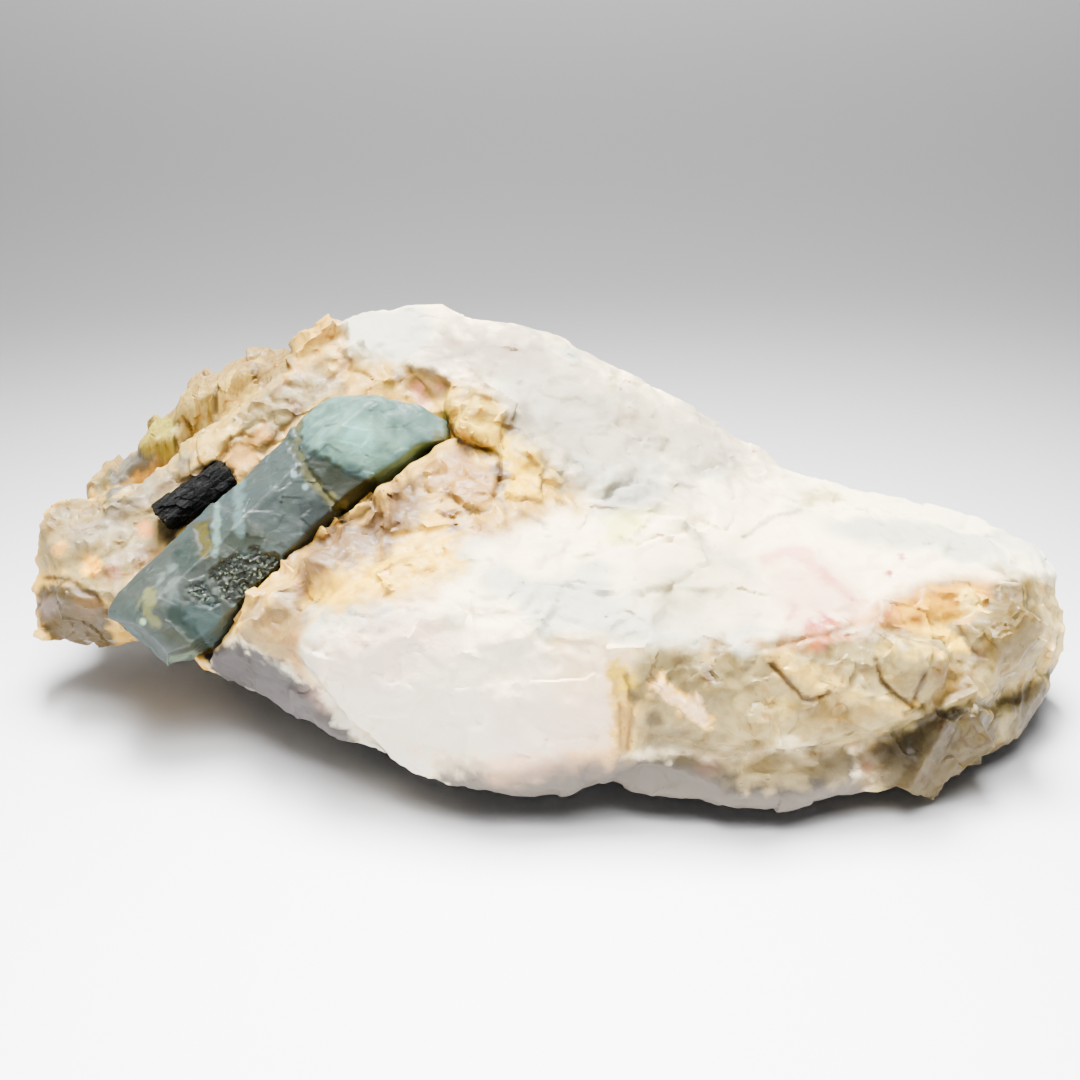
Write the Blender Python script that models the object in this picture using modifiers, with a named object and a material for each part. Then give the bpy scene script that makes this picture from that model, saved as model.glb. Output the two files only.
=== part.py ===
"""A rough aquamarine crystal in its rock of quartz and feldspar, with a short black tourmaline.

Three solids, in metres. +X runs along the rock to its right end, +Y to its back, +Z up.
The origin is the middle of the rock's plan, on the surface that it stands on.
"""

import math
import random

import bmesh
import bpy
from mathutils import Matrix, Vector, kdtree

MM = 0.001

# Driving dimensions, in millimetres.
ROCK_LENGTH = 200.0
CRYSTAL_WIDTH = 20.0
CRYSTAL_GAP = 0.3

# Mesh fineness.
FUSE_SIZE = 1.5
ROCK_TRIANGLES = 7800

# The rock's broken masses. Each is the hull of its own corners, (x, y, z) in millimetres.
CROWN = (
    (-53, 29, 60.5), (-46, 30, 65), (-36, 40, 67.5), (-21, 41, 66.8), (-4, 38, 63.8),
    (8, 35, 59.3), (20, 32, 53.8), (32, 30, 46.6), (46, 27, 39), (-20, 18, 57.5), (-5, 10, 52.5), (5, 0, 44.5), (29, -14, 38.5),
    (42, -12, 36), (-33, 47, 46), (2, 49, 40), (34, 43, 25), (-28, 47, 16), (30, 43, 10),
    (-30, 0, 14), (38, -16, 8),
)
NOSE = (
    (-46, -35, 31.5), (-40, -31, 38.5), (-26, -26, 44.5), (-8, -26, 44), (5, 0, 44.5),
    (-14, -42, 36.5), (3, -43, 36.5), (14, -43, 36), (-37, -40, 20), (-22, -44, 14.5),
    (-14, -47, 26), (17, -47, 26), (17, -48, 13.5), (-10, -48, 7.7), (10, -47.5, 8), (-28, -42, 11),
    (-14, -17, -1.2), (15, -18, -1.2), (-24, 4, 2.0), (20, 10, -1.2),
)
SADDLE = (
    (5, 0, 44.5), (-8, -25, 44), (3, -43, 36.5), (14, -43, 36), (31, -42, 35.5), (38, -13, 38),
    (29, -14, 38.8), (20, -10, 41), (46, -10, 36.5), (0, -20, 12), (34, -20, 12),
)
BANK = (
    (-66, -17, 17), (-57, -24, 27), (-48, -18, 35.5), (-38, -11, 42), (-28, -3, 47.5),
    (-17, 8, 53), (-5, 11, 53.5), (6, 0, 44), (-8, -26, 43.5), (-26, -26, 44), (-39, -30, 37.5),
    (-45, -33, 30.5), (-40, -28, 12), (-30, 0, 10), (0, 10, 20), (-56, -8, 12),
)
BED = (
    (-85, -7, 21), (-66, -16, 16), (-50, -17, 32), (-80, 4, 34), (-84, 14, 36), (-78, 17, 40),
    (-68, 19, 48.5), (-56, 23, 56), (-48, 27, 60.5), (-40, 29, 63), (-28, 13, 50), (-44, 41, 53),
    (-58, 38, 36), (-50, 43, 16), (-74, 32, 15), (-66, 4, 7), (-42, -18, 5), (-30, 24, 3),
)
LEFT_END = (
    (-98.5, 8, 35), (-94, 14, 36.5), (-101, 8, 24), (-100, 2, 22), (-93, -5, 25.5), (-85, -10, 25),
    (-84, -9, 16), (-94, 0, 12), (-98.5, 6, 16), (-84, 15, 36.5), (-90, 1, 31.5), (-80, -4, 31.5),
    (-87, 28, 27), (-80, 32, 15), (-72, 10, 8), (-80, -2, 12), (-88, 18, 11),
)
GREY_FOOT = (
    (-64, -17, 16), (-57, -23, 27), (-34, -34, 10.5), (-40, -33, 10), (-50, -27, 13.5),
    (-42, -30, 21), (-60, 12, 8), (-20, 12, 1.5), (-34, -20, 4), (-62, -6, 11),
    (-12, -24, 0.5), (-22, -36, 7), (-6, 20, 1.5),
)
RIGHT_SHELF = (
    (42, 26, 38.5), (51, 24, 35), (60, 23, 34), (71, 22, 32.5), (86, 15, 31.5), (96, 8, 29),
    (100, 0, 24.5), (92, -8, 31.5), (76, -18, 34.5), (66, -27, 34.8), (51, -39, 35), (31, -42, 35.5),
    (15, -43, 35), (38, -13, 38), (15, -47, 20), (31, -48, 16.5), (45, -48, 17.5), (65, -44, 20.5),
    (80, -34, 18), (98, -12, 15.5), (101, -5, 17), (50, 35, 21), (84, 27, 17), (30, 20, 10),
)
RIGHT_FOOT = (
    (16, -45, 16), (39, -48.5, 9), (57, -46, 10.6), (78, -38, 13.5), (95, -18, 10.5), (101, -2, 7),
    (101.5, -4, 14), (66, -43, 5.2), (43, -50, 4.8), (89, -25, 4), (96, 1, 3), (92, 16, 8),
    (80, 26, 5), (48, 33, 4), (14, -47, 5.8), (10, 16, -1.2), (80, 24, 16), (50, 34, 20),
    (54, -16, -1.2), (56, 6, -1.2), (16, -18, -1.2),
)
BACK_LEAN = (
    (-62, 38, 37), (-46, 43, 55), (-20, 47, 52), (10, 47, 44), (36, 39, 31), (60, 30, 19),
    (-56, 42, 14), (-20, 50, 16), (14, 51, 13), (44, 43, 10), (-34, 22, 5), (34, 14, -1.2),
    (-14, 14, -1.2),
)

# Tawny feldspar blades behind the crest, stepped up to the right.
# Each is left, right, back, left top and right top.
BLADES = (
    (-93, -80.5, 33, 34, 40.5),
    (-81, -72.5, 35.5, 44.5, 46.5),
    (-74, -60.5, 37.5, 51, 57.5),
    (-61, -51, 38.5, 59, 61),
)
BLADE_DEPTH = 10.0
BLADE_ROOT = 16.0

# Cleavage blocks that stand proud of the feldspar, and flakes on the quartz.
# Each is a middle, a length, width and height, and how far it turns and dips, in degrees.
CHUNKS = (
    ((-11, 13, 53.5), (12, 11, 8), 25, 8),
    ((-1, 5, 48.5), (13, 11, 8), -20, 14),
    ((-20, 22, 58), (12, 8, 8), -15, 12),
    ((-44, 21, 57.5), (11, 7, 8), 28, -14),
    ((-53, 17.5, 53.5), (12, 7, 7), 32, -20),
    ((-63, 13.5, 46.5), (11, 6, 8), 36, -24),
    ((-80, 12, 36), (12, 8, 8), 20, -14),
    ((-90, 4, 30.5), (12, 9, 8), -12, -6),
    ((-86, -5, 24), (14, 8, 8), -16, 4),
    ((-94, 3, 18), (11, 9, 8), 10, -8),
    ((-26, -12, 45.5), (13, 9, 6), 34, 8),
    ((-37, -21, 40.5), (12, 8, 6), 42, -8),
    ((-51, -22, 30.5), (12, 8, 6), 48, -24),
    ((33, -45.5, 26), (16, 7, 5), -28, 34),
    ((67, -37, 29), (12, 9, 8), 22, 10),
    ((85, -24, 26), (13, 9, 10), 38, 6),
    ((54, 9, 33.6), (20, 14, 6), -8, 4),
    ((18, 2, 43.8), (19, 13, 6), -24, 18),
    ((26, -22, 36.8), (21, 14, 6), 30, 6),
)

# The crystal's axis, from its broken lower end past the bend to its upper end.
CRYSTAL_FOOT = Vector((-70.4, -14.0, 25.2))
CRYSTAL_BEND = Vector((-41.6, 8.6, 44.9))
CRYSTAL_HEAD = Vector((-28.1, 17.5, 52.9))

# The crystal's healed lengths. Each is the two points of its axis, a turn about it, in degrees,
# and the rings whose hull it is. A ring is a place along the axis, a share of the full width,
# and how far the ring slants towards its front side.
CRYSTAL_LENGTHS = (
    (CRYSTAL_FOOT, CRYSTAL_BEND, 6.0, ((-6.5, 0.74, 0.0), (-2.5, 0.98, 0.0), (21.0, 1.0, 0.05))),
    (CRYSTAL_FOOT, CRYSTAL_BEND, 10.0, ((18.5, 0.95, 0.0), (42.5, 0.97, -0.15))),
    (
        CRYSTAL_BEND, CRYSTAL_HEAD, 7.0,
        ((-4.5, 0.94, -0.15), (2.5, 1.05, 0.4), (11.5, 1.04, 0.42), (17.0, 0.78, 0.8)),
    ),
)
PRISM_SQUASH = 0.94

# The rock slopes up from the crystal's upper-left edge. The corners of the clear space are
# given across the axis and above it, along the stretch from CLEAR_FROM to CLEAR_TO.
CLEAR_SIDES = ((-7.6, 7.4), (-36.0, 23.0), (-36.0, 50.0), (5.5, 8.6), (16.0, 50.0))
CLEAR_FROM = -14.0
CLEAR_TO = 65.0

# The tourmaline lies along the crystal's upper-left side.
TOURMALINE_FOOT = Vector((-73.8, 1.6, 38.4))
TOURMALINE_HEAD = Vector((-61.7, 8.6, 43.8))
TOURMALINE_WIDTH = 7.6
TOURMALINE_RIBS = 11

# Where the rock is feldspar, which breaks in small blocks: a point and a reach.
FELDSPAR = (
    ((-62, 0, 34), 30.0),
    ((-34, 8, 48), 24.0),
    ((-92, 2, 24), 22.0),
    ((44, -44, 26), 18.0),
    ((70, -32, 26), 20.0),
    ((92, -8, 22), 18.0),
)

# How each mineral breaks: cell size, depth and seed of its fracture steps.
QUARTZ_BREAK = (15.0, 0.9, 3)
FELDSPAR_BREAK = (6.5, 0.95, 8)


def clear_scene():
    """Leaves an empty scene."""
    for old in list(bpy.data.objects):
        bpy.data.objects.remove(old)


def new_collection(name):
    """A collection linked to the scene."""
    collection = bpy.data.collections.new(name)
    bpy.context.scene.collection.children.link(collection)
    return collection


def new_object(name, bm, collection):
    """A mesh object made from bm, in collection."""
    mesh = bpy.data.meshes.new(name)
    bm.to_mesh(mesh)
    bm.free()
    made = bpy.data.objects.new(name, mesh)
    collection.objects.link(made)
    return made


def bake(target):
    """Gives target the mesh that its modifiers make, and takes them off."""
    graph = bpy.context.evaluated_depsgraph_get()
    shaped = bpy.data.meshes.new_from_object(target.evaluated_get(graph))
    target.modifiers.clear()
    target.data = shaped


def add_hull(bm, corners):
    """Adds the hull of corners, in millimetres, to bm as one closed block."""
    verts = [bm.verts.new(Vector(corner) * MM) for corner in corners]
    made = bmesh.ops.convex_hull(bm, input=verts)
    inside = [item for item in made["geom_interior"] if isinstance(item, bmesh.types.BMVert)]
    bmesh.ops.delete(bm, geom=inside, context="VERTS")


def blade_corners(left, right, back, left_top, right_top):
    """The eight corners of one upright feldspar blade."""
    front = back - BLADE_DEPTH
    lean = 2.0
    return (
        (left, front, BLADE_ROOT), (right, front, BLADE_ROOT),
        (left + lean, back, BLADE_ROOT), (right, back, BLADE_ROOT),
        (left, front, left_top - 2.0), (right, front, right_top - 2.0),
        (left + lean, back, left_top), (right, back, right_top),
    )


def chunk_corners(middle, size, turn, dip):
    """The corners of one cleavage block, a box turned about z after it dips along its length."""
    place = Vector(middle)
    turned = Matrix.Rotation(math.radians(turn), 3, "Z") @ Matrix.Rotation(math.radians(dip), 3, "Y")
    corners = []
    for along in (-0.5, 0.5):
        for across in (-0.5, 0.5):
            for above in (-0.5, 0.5):
                narrowed = 1.0 - 0.25 * (above > 0) * (along > 0)
                half = Vector((along * size[0], across * size[1] * narrowed, above * size[2]))
                corners.append(place + turned @ half)
    return corners


def fuse(target, size):
    """Joins target's overlapping blocks in one skin."""
    remesh = target.modifiers.new("Fuse", "REMESH")
    remesh.mode = "VOXEL"
    remesh.voxel_size = size * MM
    bake(target)


def feldspar_share(point):
    """How far point, in millimetres, lies in feldspar: 1 inside, 0 in quartz."""
    nearest = min((point - Vector(centre)).length / reach for centre, reach in FELDSPAR)
    return max(0.0, min(1.0, (1.15 - nearest) / 0.3))


def fracture_cells(low, high, size, seed):
    """Seeded fracture cells that fill a box: a search tree, and each cell's level and tilt."""
    rng = random.Random(seed)
    span = high - low
    count = int(span.x * span.y * span.z / size ** 3)
    tree = kdtree.KDTree(count)
    cells = []
    for index in range(count):
        centre = Vector([low[axis] + rng.random() * span[axis] for axis in range(3)])
        tilt = Vector([rng.gauss(0.0, 1.0) for axis in range(3)])
        tree.insert(centre, index)
        cells.append((centre, rng.uniform(-1.0, 1.0), tilt.normalized()))
    tree.balance()
    return tree, cells


def break_height(point, field, size):
    """Height of the fracture step at point, between about -1 and 1."""
    tree, cells = field
    centre, level, tilt = cells[tree.find(point)[1]]
    slope = (point - centre).dot(tilt) / size
    return 0.6 * level + 0.9 * slope


def break_surface(target):
    """Steps target's skin as the two minerals break: broad in quartz, blocky in feldspar."""
    bm = bmesh.new()
    bm.from_mesh(target.data)
    bm.normal_update()
    points = [vert.co / MM for vert in bm.verts]
    low = Vector([min(point[axis] for point in points) for axis in range(3)])
    high = Vector([max(point[axis] for point in points) for axis in range(3)])
    quartz_size, quartz_depth, quartz_seed = QUARTZ_BREAK
    feldspar_size, feldspar_depth, feldspar_seed = FELDSPAR_BREAK
    quartz = fracture_cells(low, high, quartz_size, quartz_seed)
    feldspar = fracture_cells(low, high, feldspar_size, feldspar_seed)
    for vert, point in zip(bm.verts, points):
        share = feldspar_share(point)
        broad = quartz_depth * break_height(point, quartz, quartz_size)
        blocky = feldspar_depth * break_height(point, feldspar, feldspar_size)
        vert.co += vert.normal * MM * (broad * (1.0 - 0.5 * share) + blocky * share)
    bmesh.ops.smooth_vert(bm, verts=bm.verts, factor=0.35)
    bm.to_mesh(target.data)
    bm.free()


def thin_out(target, triangles):
    """Brings target down to about the given number of triangles, flat faces first."""
    now = sum(len(face.vertices) - 2 for face in target.data.polygons)
    decimate = target.modifiers.new("Thin", "DECIMATE")
    decimate.ratio = triangles / now
    bake(target)


def cut(target, cutter):
    """Takes cutter's shape out of target."""
    boolean = target.modifiers.new("Cut", "BOOLEAN")
    boolean.operation = "DIFFERENCE"
    boolean.solver = "EXACT"
    boolean.object = cutter
    bake(target)


def as_cutter(made):
    """Marks an object as one that cuts others and is left out of the part."""
    made.hide_render = True
    made.display_type = "WIRE"
    return made


def axis_frame(foot, head):
    """Unit vectors along, across and above the line from foot to head."""
    along = (head - foot).normalized()
    across = along.cross(Vector((0, 0, 1))).normalized()
    above = across.cross(along).normalized()
    return along, across, above


def prism_ring(frame, middle, radius, turn, slant):
    """Six prism corners round middle. Those on the front side lie slant further along."""
    along, across, above = frame
    corners = []
    for step in range(6):
        angle = math.radians(turn) + step * math.pi / 3
        side = radius * math.cos(angle)
        height = PRISM_SQUASH * radius * math.sin(angle)
        corners.append(middle + across * side + above * height + along * (slant * side))
    return corners


def crystal_blocks(grow):
    """Corner lists of the crystal's healed lengths, each grown outwards by grow."""
    radius = CRYSTAL_WIDTH / math.sqrt(3)
    grown = grow / math.cos(math.pi / 6)
    blocks = []
    for start, end, turn, rings in CRYSTAL_LENGTHS:
        frame = axis_frame(start, end)
        corners = []
        for index, (place, share, slant) in enumerate(rings):
            beyond = (index > 0) - (index < len(rings) - 1)
            middle = start + frame[0] * (place + beyond * grow)
            corners += prism_ring(frame, middle, radius * share + grown, turn, slant)
        blocks.append(corners)
    return blocks


def join_blocks(target, blocks, collection):
    """Unites target with each further block, one Boolean at a time."""
    for number, corners in enumerate(blocks):
        bm = bmesh.new()
        add_hull(bm, corners)
        tool = as_cutter(new_object(f"{target.name}_length_{number + 2}", bm, collection))
        union = target.modifiers.new("Join", "BOOLEAN")
        union.operation = "UNION"
        union.solver = "EXACT"
        union.object = tool
        bake(target)


def build_aquamarine(name, grow, collection, tools):
    """The aquamarine prism, its three lengths joined in one solid."""
    blocks = crystal_blocks(grow)
    bm = bmesh.new()
    add_hull(bm, blocks[0])
    crystal = new_object(name, bm, collection)
    join_blocks(crystal, blocks[1:], tools)
    return crystal


def build_clearing(collection):
    """A guide that clears the rock from above the crystal."""
    along, across, above = axis_frame(CRYSTAL_FOOT, CRYSTAL_HEAD)
    bm = bmesh.new()
    add_hull(bm, [
        CRYSTAL_FOOT + along * place + across * side + above * height
        for place in (CLEAR_FROM, CLEAR_TO)
        for side, height in CLEAR_SIDES
    ])
    return as_cutter(new_object("clearing", bm, collection))


def build_tourmaline(name, grow, collection):
    """The tourmaline: a short ribbed prism with rough, sloping ends."""
    along, across, above = axis_frame(TOURMALINE_FOOT, TOURMALINE_HEAD)
    length = (TOURMALINE_HEAD - TOURMALINE_FOOT).length
    bm = bmesh.new()
    made = bmesh.ops.create_cone(
        bm, cap_ends=True, segments=2 * TOURMALINE_RIBS, radius1=1.0, radius2=1.0, depth=1.0
    )
    for vert in made["verts"]:
        angle = math.atan2(vert.co.y, vert.co.x)
        rib = 1.0 + 0.05 * math.cos(TOURMALINE_RIBS * angle)
        radius = 0.5 * TOURMALINE_WIDTH * rib + grow
        slant = 1.1 * math.cos(angle - 0.6) * (1 if vert.co.z > 0 else -1)
        reach = (vert.co.z + 0.5) * length + (grow if vert.co.z > 0 else -grow) + slant
        place = TOURMALINE_FOOT + along * reach
        place += above * (0.85 * radius * math.cos(angle)) + across * (radius * math.sin(angle))
        vert.co = place * MM
    return new_object(name, bm, collection)


def build_matrix(collection, tools):
    """The rock: its masses fused, broken and pocketed for the crystals."""
    bm = bmesh.new()
    masses = (
        CROWN, NOSE, SADDLE, BANK, BED, LEFT_END, GREY_FOOT, RIGHT_SHELF, RIGHT_FOOT, BACK_LEAN
    )
    for corners in masses:
        add_hull(bm, corners)
    for blade in BLADES:
        add_hull(bm, blade_corners(*blade))
    for middle, size, turn, dip in CHUNKS:
        add_hull(bm, chunk_corners(middle, size, turn, dip))
    rock = new_object("matrix", bm, collection)
    fuse(rock, FUSE_SIZE)
    cut(rock, build_clearing(tools))
    fuse(rock, FUSE_SIZE)
    break_surface(rock)
    thin_out(rock, ROCK_TRIANGLES)
    cut(rock, as_cutter(build_aquamarine("aquamarine_pocket", CRYSTAL_GAP, tools, tools)))
    cut(rock, as_cutter(build_tourmaline("tourmaline_pocket", CRYSTAL_GAP, tools)))
    cut(rock, build_ground(tools))
    keep_largest(rock)
    return rock


def build_ground(tools):
    """A block below z = 0 that cuts the rock's resting spot flat."""
    bm = bmesh.new()
    bmesh.ops.create_cube(bm, size=1.0)
    bmesh.ops.scale(bm, verts=bm.verts, vec=Vector((3 * ROCK_LENGTH, 3 * ROCK_LENGTH, 40)) * MM)
    bmesh.ops.translate(bm, verts=bm.verts, vec=Vector((0, 0, -20)) * MM)
    return as_cutter(new_object("ground", bm, tools))


def keep_largest(target):
    """Deletes loose crumbs, so that one body is left."""
    bm = bmesh.new()
    bm.from_mesh(target.data)
    left = set(bm.verts)
    bodies = []
    while left:
        body = {left.pop()}
        edge = list(body)
        while edge:
            vert = edge.pop()
            for link in vert.link_edges:
                other = link.other_vert(vert)
                if other not in body:
                    body.add(other)
                    edge.append(other)
        left -= body
        bodies.append(body)
    bodies.sort(key=len)
    crumbs = [vert for body in bodies[:-1] for vert in body]
    bmesh.ops.delete(bm, geom=crumbs, context="VERTS")
    bm.to_mesh(target.data)
    bm.free()


def settle(rock, others):
    """Scales all to the rock's length and centres its plan on the origin."""
    points = [vert.co for vert in rock.data.vertices]
    low = Vector([min(point[axis] for point in points) for axis in range(3)])
    high = Vector([max(point[axis] for point in points) for axis in range(3)])
    scale = ROCK_LENGTH * MM / (high.x - low.x)
    middle = Vector(((low.x + high.x) / 2, (low.y + high.y) / 2, low.z))
    for piece in [rock] + others:
        for vert in piece.data.vertices:
            vert.co = (vert.co - middle) * scale


def add_material(target, colour, roughness):
    """Gives target its own plain material."""
    material = bpy.data.materials.new(target.name)
    material.use_nodes = True
    shader = material.node_tree.nodes["Principled BSDF"]
    shader.inputs["Base Color"].default_value = (*colour, 1.0)
    shader.inputs["Roughness"].default_value = roughness
    shader.inputs["Metallic"].default_value = 0.0
    target.data.materials.clear()
    target.data.materials.append(material)


def main():
    """Builds the specimen."""
    clear_scene()
    specimen = new_collection("rough_aquamarine")
    tools = new_collection("cutters")
    rock = build_matrix(specimen, tools)
    aquamarine = build_aquamarine("aquamarine_crystal", 0.0, specimen, tools)
    tourmaline = build_tourmaline("tourmaline_crystal", 0.0, specimen)
    settle(rock, [aquamarine, tourmaline])
    add_material(rock, (0.80, 0.72, 0.62), 0.6)
    add_material(aquamarine, (0.33, 0.46, 0.46), 0.35)
    add_material(tourmaline, (0.03, 0.03, 0.03), 0.35)


main()
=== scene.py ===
"""The looks of a rough aquamarine in its rock of quartz and feldspar.

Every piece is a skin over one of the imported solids. Lengths are in millimetres, except in a mesh,
which is in metres. A place on a skin is given by a pixel of the photo, in its 1080 by 1080 frame,
and lies where that pixel's line of sight meets the stone.
"""

from __future__ import annotations

import logging
import math
from dataclasses import dataclass, field
from itertools import product
from typing import Any

import bmesh
import bpy
import numpy as np
from mathutils import Matrix, Vector
from mathutils.bvhtree import BVHTree


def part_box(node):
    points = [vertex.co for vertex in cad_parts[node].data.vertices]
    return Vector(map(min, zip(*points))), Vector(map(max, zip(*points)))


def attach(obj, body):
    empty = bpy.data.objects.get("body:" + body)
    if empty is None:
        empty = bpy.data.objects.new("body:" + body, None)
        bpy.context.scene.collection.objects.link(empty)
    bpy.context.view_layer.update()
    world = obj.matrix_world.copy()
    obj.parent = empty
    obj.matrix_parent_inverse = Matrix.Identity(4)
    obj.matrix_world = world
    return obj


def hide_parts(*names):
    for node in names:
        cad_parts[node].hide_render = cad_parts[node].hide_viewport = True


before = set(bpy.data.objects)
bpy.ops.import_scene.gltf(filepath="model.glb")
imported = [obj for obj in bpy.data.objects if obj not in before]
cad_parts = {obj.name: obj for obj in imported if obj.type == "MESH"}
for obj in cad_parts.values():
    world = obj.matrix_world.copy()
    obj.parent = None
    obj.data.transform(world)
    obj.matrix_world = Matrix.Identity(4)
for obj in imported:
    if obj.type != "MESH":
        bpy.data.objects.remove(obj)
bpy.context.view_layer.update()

MM = 0.001
BODY = "root"
LOG = logging.getLogger("aquamarine")
# The light that a white surface shows: in all, off the open floor, off the sky and for a lamp.
STUDIO_LIGHT = 8.0
FLOOR_LIGHT = 8.0
SKY_LIGHT = 0.4
LAMP_SHARE = 0.52
# How much of the floor's light reaches a level underside, and how much less of it near the floor.
FLOOR_SHARE = 0.5
SHADED_FLOOR = 0.25
OPEN_HEIGHT = 30.0
# The dimmest and brightest light that colours are fitted to, and the darkest and palest colour.
DIMMEST = 1.6
BRIGHTEST = 13.0
DARKEST = 0.002
PALEST = 0.9
GREYED = 0.8
# How the render's view turns light into screen colours: its wide primaries, the mixing of the
# channels before its curve and the parting of them after it, and the curve itself.
WIDE = np.array(((0.627, 0.329, 0.043), (0.069, 0.920, 0.011), (0.016, 0.088, 0.896)))
MIXED = np.array(((0.857, 0.095, 0.048), (0.137, 0.761, 0.102), (0.112, 0.077, 0.811)))
PARTED = np.array(((1.127, -0.111, -0.016), (-0.141, 1.158, -0.017), (-0.141, -0.111, 1.252)))
CURVE_POWER = 2.2
CURVE_SCALE = 0.67
CURVE_LIFT = 0.028
CURVE_BEND = 0.1
CURVE_LOW = 0.01
CURVE_TOP = 0.97
# Large odd numbers that scatter the seeded fields' cells.
AXIS_KEYS = (73856093, 19349663, 83492791)
SCATTERING = (2246822519, 3266489917)
NEXT_KEY = 374761393
SEED_KEY = 7919
FIRST_KEY = 17
KEY_RANGE = 4294967296.0

Array = np.ndarray
Pixel = tuple[float, float]
Colour = tuple[float, float, float]


# Seeded fields over points in millimetres.


def smooth_step(low: float, high: float, values: Array) -> Array:
    """Rises smoothly from 0 at low to 1 at high."""
    share = np.clip((values - low) / (high - low), 0.0, 1.0)
    return share * share * (3.0 - 2.0 * share)


def lattice_random(cells: Array, seed: int, count: int) -> Array:
    """Seeded numbers for whole-number cells.

    Args:
        cells: one row of three whole numbers for each cell.
        seed: another seed gives other numbers.
        count: how many numbers each cell gets.

    Returns:
        One row for each cell, of numbers from 0 to 1.
    """
    keys = cells.astype(np.int64).astype(np.uint32) * np.array(AXIS_KEYS, np.uint32)
    mixed = keys[:, 0] ^ keys[:, 1] ^ keys[:, 2] ^ np.uint32(seed * SEED_KEY + FIRST_KEY)
    columns = []
    for _ in range(count):
        mixed = (mixed ^ (mixed >> np.uint32(15))) * np.uint32(SCATTERING[0])
        mixed = (mixed ^ (mixed >> np.uint32(13))) * np.uint32(SCATTERING[1])
        mixed = mixed ^ (mixed >> np.uint32(16))
        columns.append(mixed / KEY_RANGE)
        mixed = mixed + np.uint32(NEXT_KEY)
    return np.stack(columns, axis=1)


def soft_noise(points: Array, size: float, seed: int, octaves: int = 1) -> Array:
    """Seeded noise that changes over a length.

    Args:
        points: places, one row each.
        size: the length over which the noise changes.
        seed: another seed gives another noise.
        octaves: how many finer layers it has, each at half the size and strength.

    Returns:
        A number from about -1 to 1 for each point.
    """
    total = np.zeros(len(points))
    for octave in range(octaves):
        place = points * (2.0**octave / size)
        cell = np.floor(place)
        share = place - cell
        share = share * share * (3.0 - 2.0 * share)
        for corner in product((0, 1), repeat=3):
            offset = np.array(corner)
            weight = np.prod(np.where(offset == 1, share, 1.0 - share), axis=1)
            height = 2.0 * lattice_random(cell + offset, seed + octave, 1)[:, 0] - 1.0
            total += weight * height * 0.5**octave
    return total * 1.3


@dataclass(frozen=True)
class Cells:
    """What each point finds in a field of fracture cells."""

    offset: Array
    random: Array
    border: Array

    def height(self) -> Array:
        """The cell's own level and slope at each point, from about -1 to 1."""
        tilt = 2.0 * self.random[:, 1:4] - 1.0
        tilt /= np.linalg.norm(tilt, axis=1)[:, None] + 1e-9
        slope = np.einsum("ij,ij->i", self.offset, tilt)
        return 0.6 * (2.0 * self.random[:, 0] - 1.0) + 0.9 * slope


def fracture_cells(points: Array, size: Any, seed: int) -> Cells:
    """Finds the fracture cell of each point.

    Args:
        points: places, one row each.
        size: the cells' size, one number or one for each axis.
        seed: another seed gives other cells.

    Returns:
        The offset from the cell's centre and the distance to its border, in cell sizes, and five
        numbers from 0 to 1 that belong to the cell.
    """
    place = points / np.array(size, float)
    home = np.floor(place)
    first = np.full(len(points), 9.0)
    second = first.copy()
    offset = np.zeros_like(place)
    cell = np.zeros_like(place)
    for step in product((-1, 0, 1), repeat=3):
        there = home + np.array(step)
        apart = place - (there + 0.1 + 0.8 * lattice_random(there, seed, 3))
        distance = np.sqrt(np.einsum("ij,ij->i", apart, apart))
        nearer = distance < first
        second = np.where(nearer, first, np.minimum(second, distance))
        first = np.where(nearer, distance, first)
        offset[nearer] = apart[nearer]
        cell[nearer] = there[nearer]
    return Cells(offset, lattice_random(cell, seed + 101, 5), (second - first) / 2.0)


# The photo's view, and shapes drawn in it.


@dataclass(frozen=True)
class PhotoView:
    """The photo's camera, which ties a pixel to a place on the stone."""

    elevation: float = 28.0
    distance: float = 475.2
    target: tuple[float, float, float] = (-1.343, -0.162, 34.06)
    lens: float = 83.2
    sensor: float = 36.0
    width: int = 1080

    def forward(self) -> Array:
        """The unit vector that the camera looks along."""
        tilt = math.radians(self.elevation)
        return np.array((0.0, math.cos(tilt), -math.sin(tilt)))

    def eye(self) -> Array:
        """Where the camera stands, in millimetres."""
        return np.array(self.target) - self.forward() * self.distance

    def scale(self) -> float:
        """Pixels in a millimetre at the target's depth."""
        return self.lens / self.sensor * self.width / self.distance

    def pixels(self, points: Array) -> Array:
        """Finds where the photo shows points.

        Args:
            points: places, one row each.

        Returns:
            The photo's pixel for each, across and down.
        """
        ahead = self.forward()
        upward = np.array((0.0, -ahead[2], ahead[1]))
        apart = points - self.eye()
        depth = apart @ ahead
        focal = self.lens / self.sensor * self.width
        across = self.width / 2 + focal * apart[:, 0] / depth
        down = self.width / 2 - focal * (apart @ upward) / depth
        return np.stack((across, down), axis=1)

    def seen(self, points: Array, tree: BVHTree) -> Array:
        """Tells which points the photo shows.

        Args:
            points: places, one row each.
            tree: the faces that may hide them.

        Returns:
            1 for each point that shows, and 0 where the stone hides it.
        """
        eye = Vector(self.eye() * MM)
        slack = 3.0 * MM
        shown = np.zeros(len(points))
        for index, point in enumerate(points):
            sight = Vector(point * MM) - eye
            length = sight.length
            hit = tree.ray_cast(eye, sight / length, length)
            shown[index] = hit[3] is None or hit[3] > length - slack
        return shown


VIEW = PhotoView()


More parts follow.
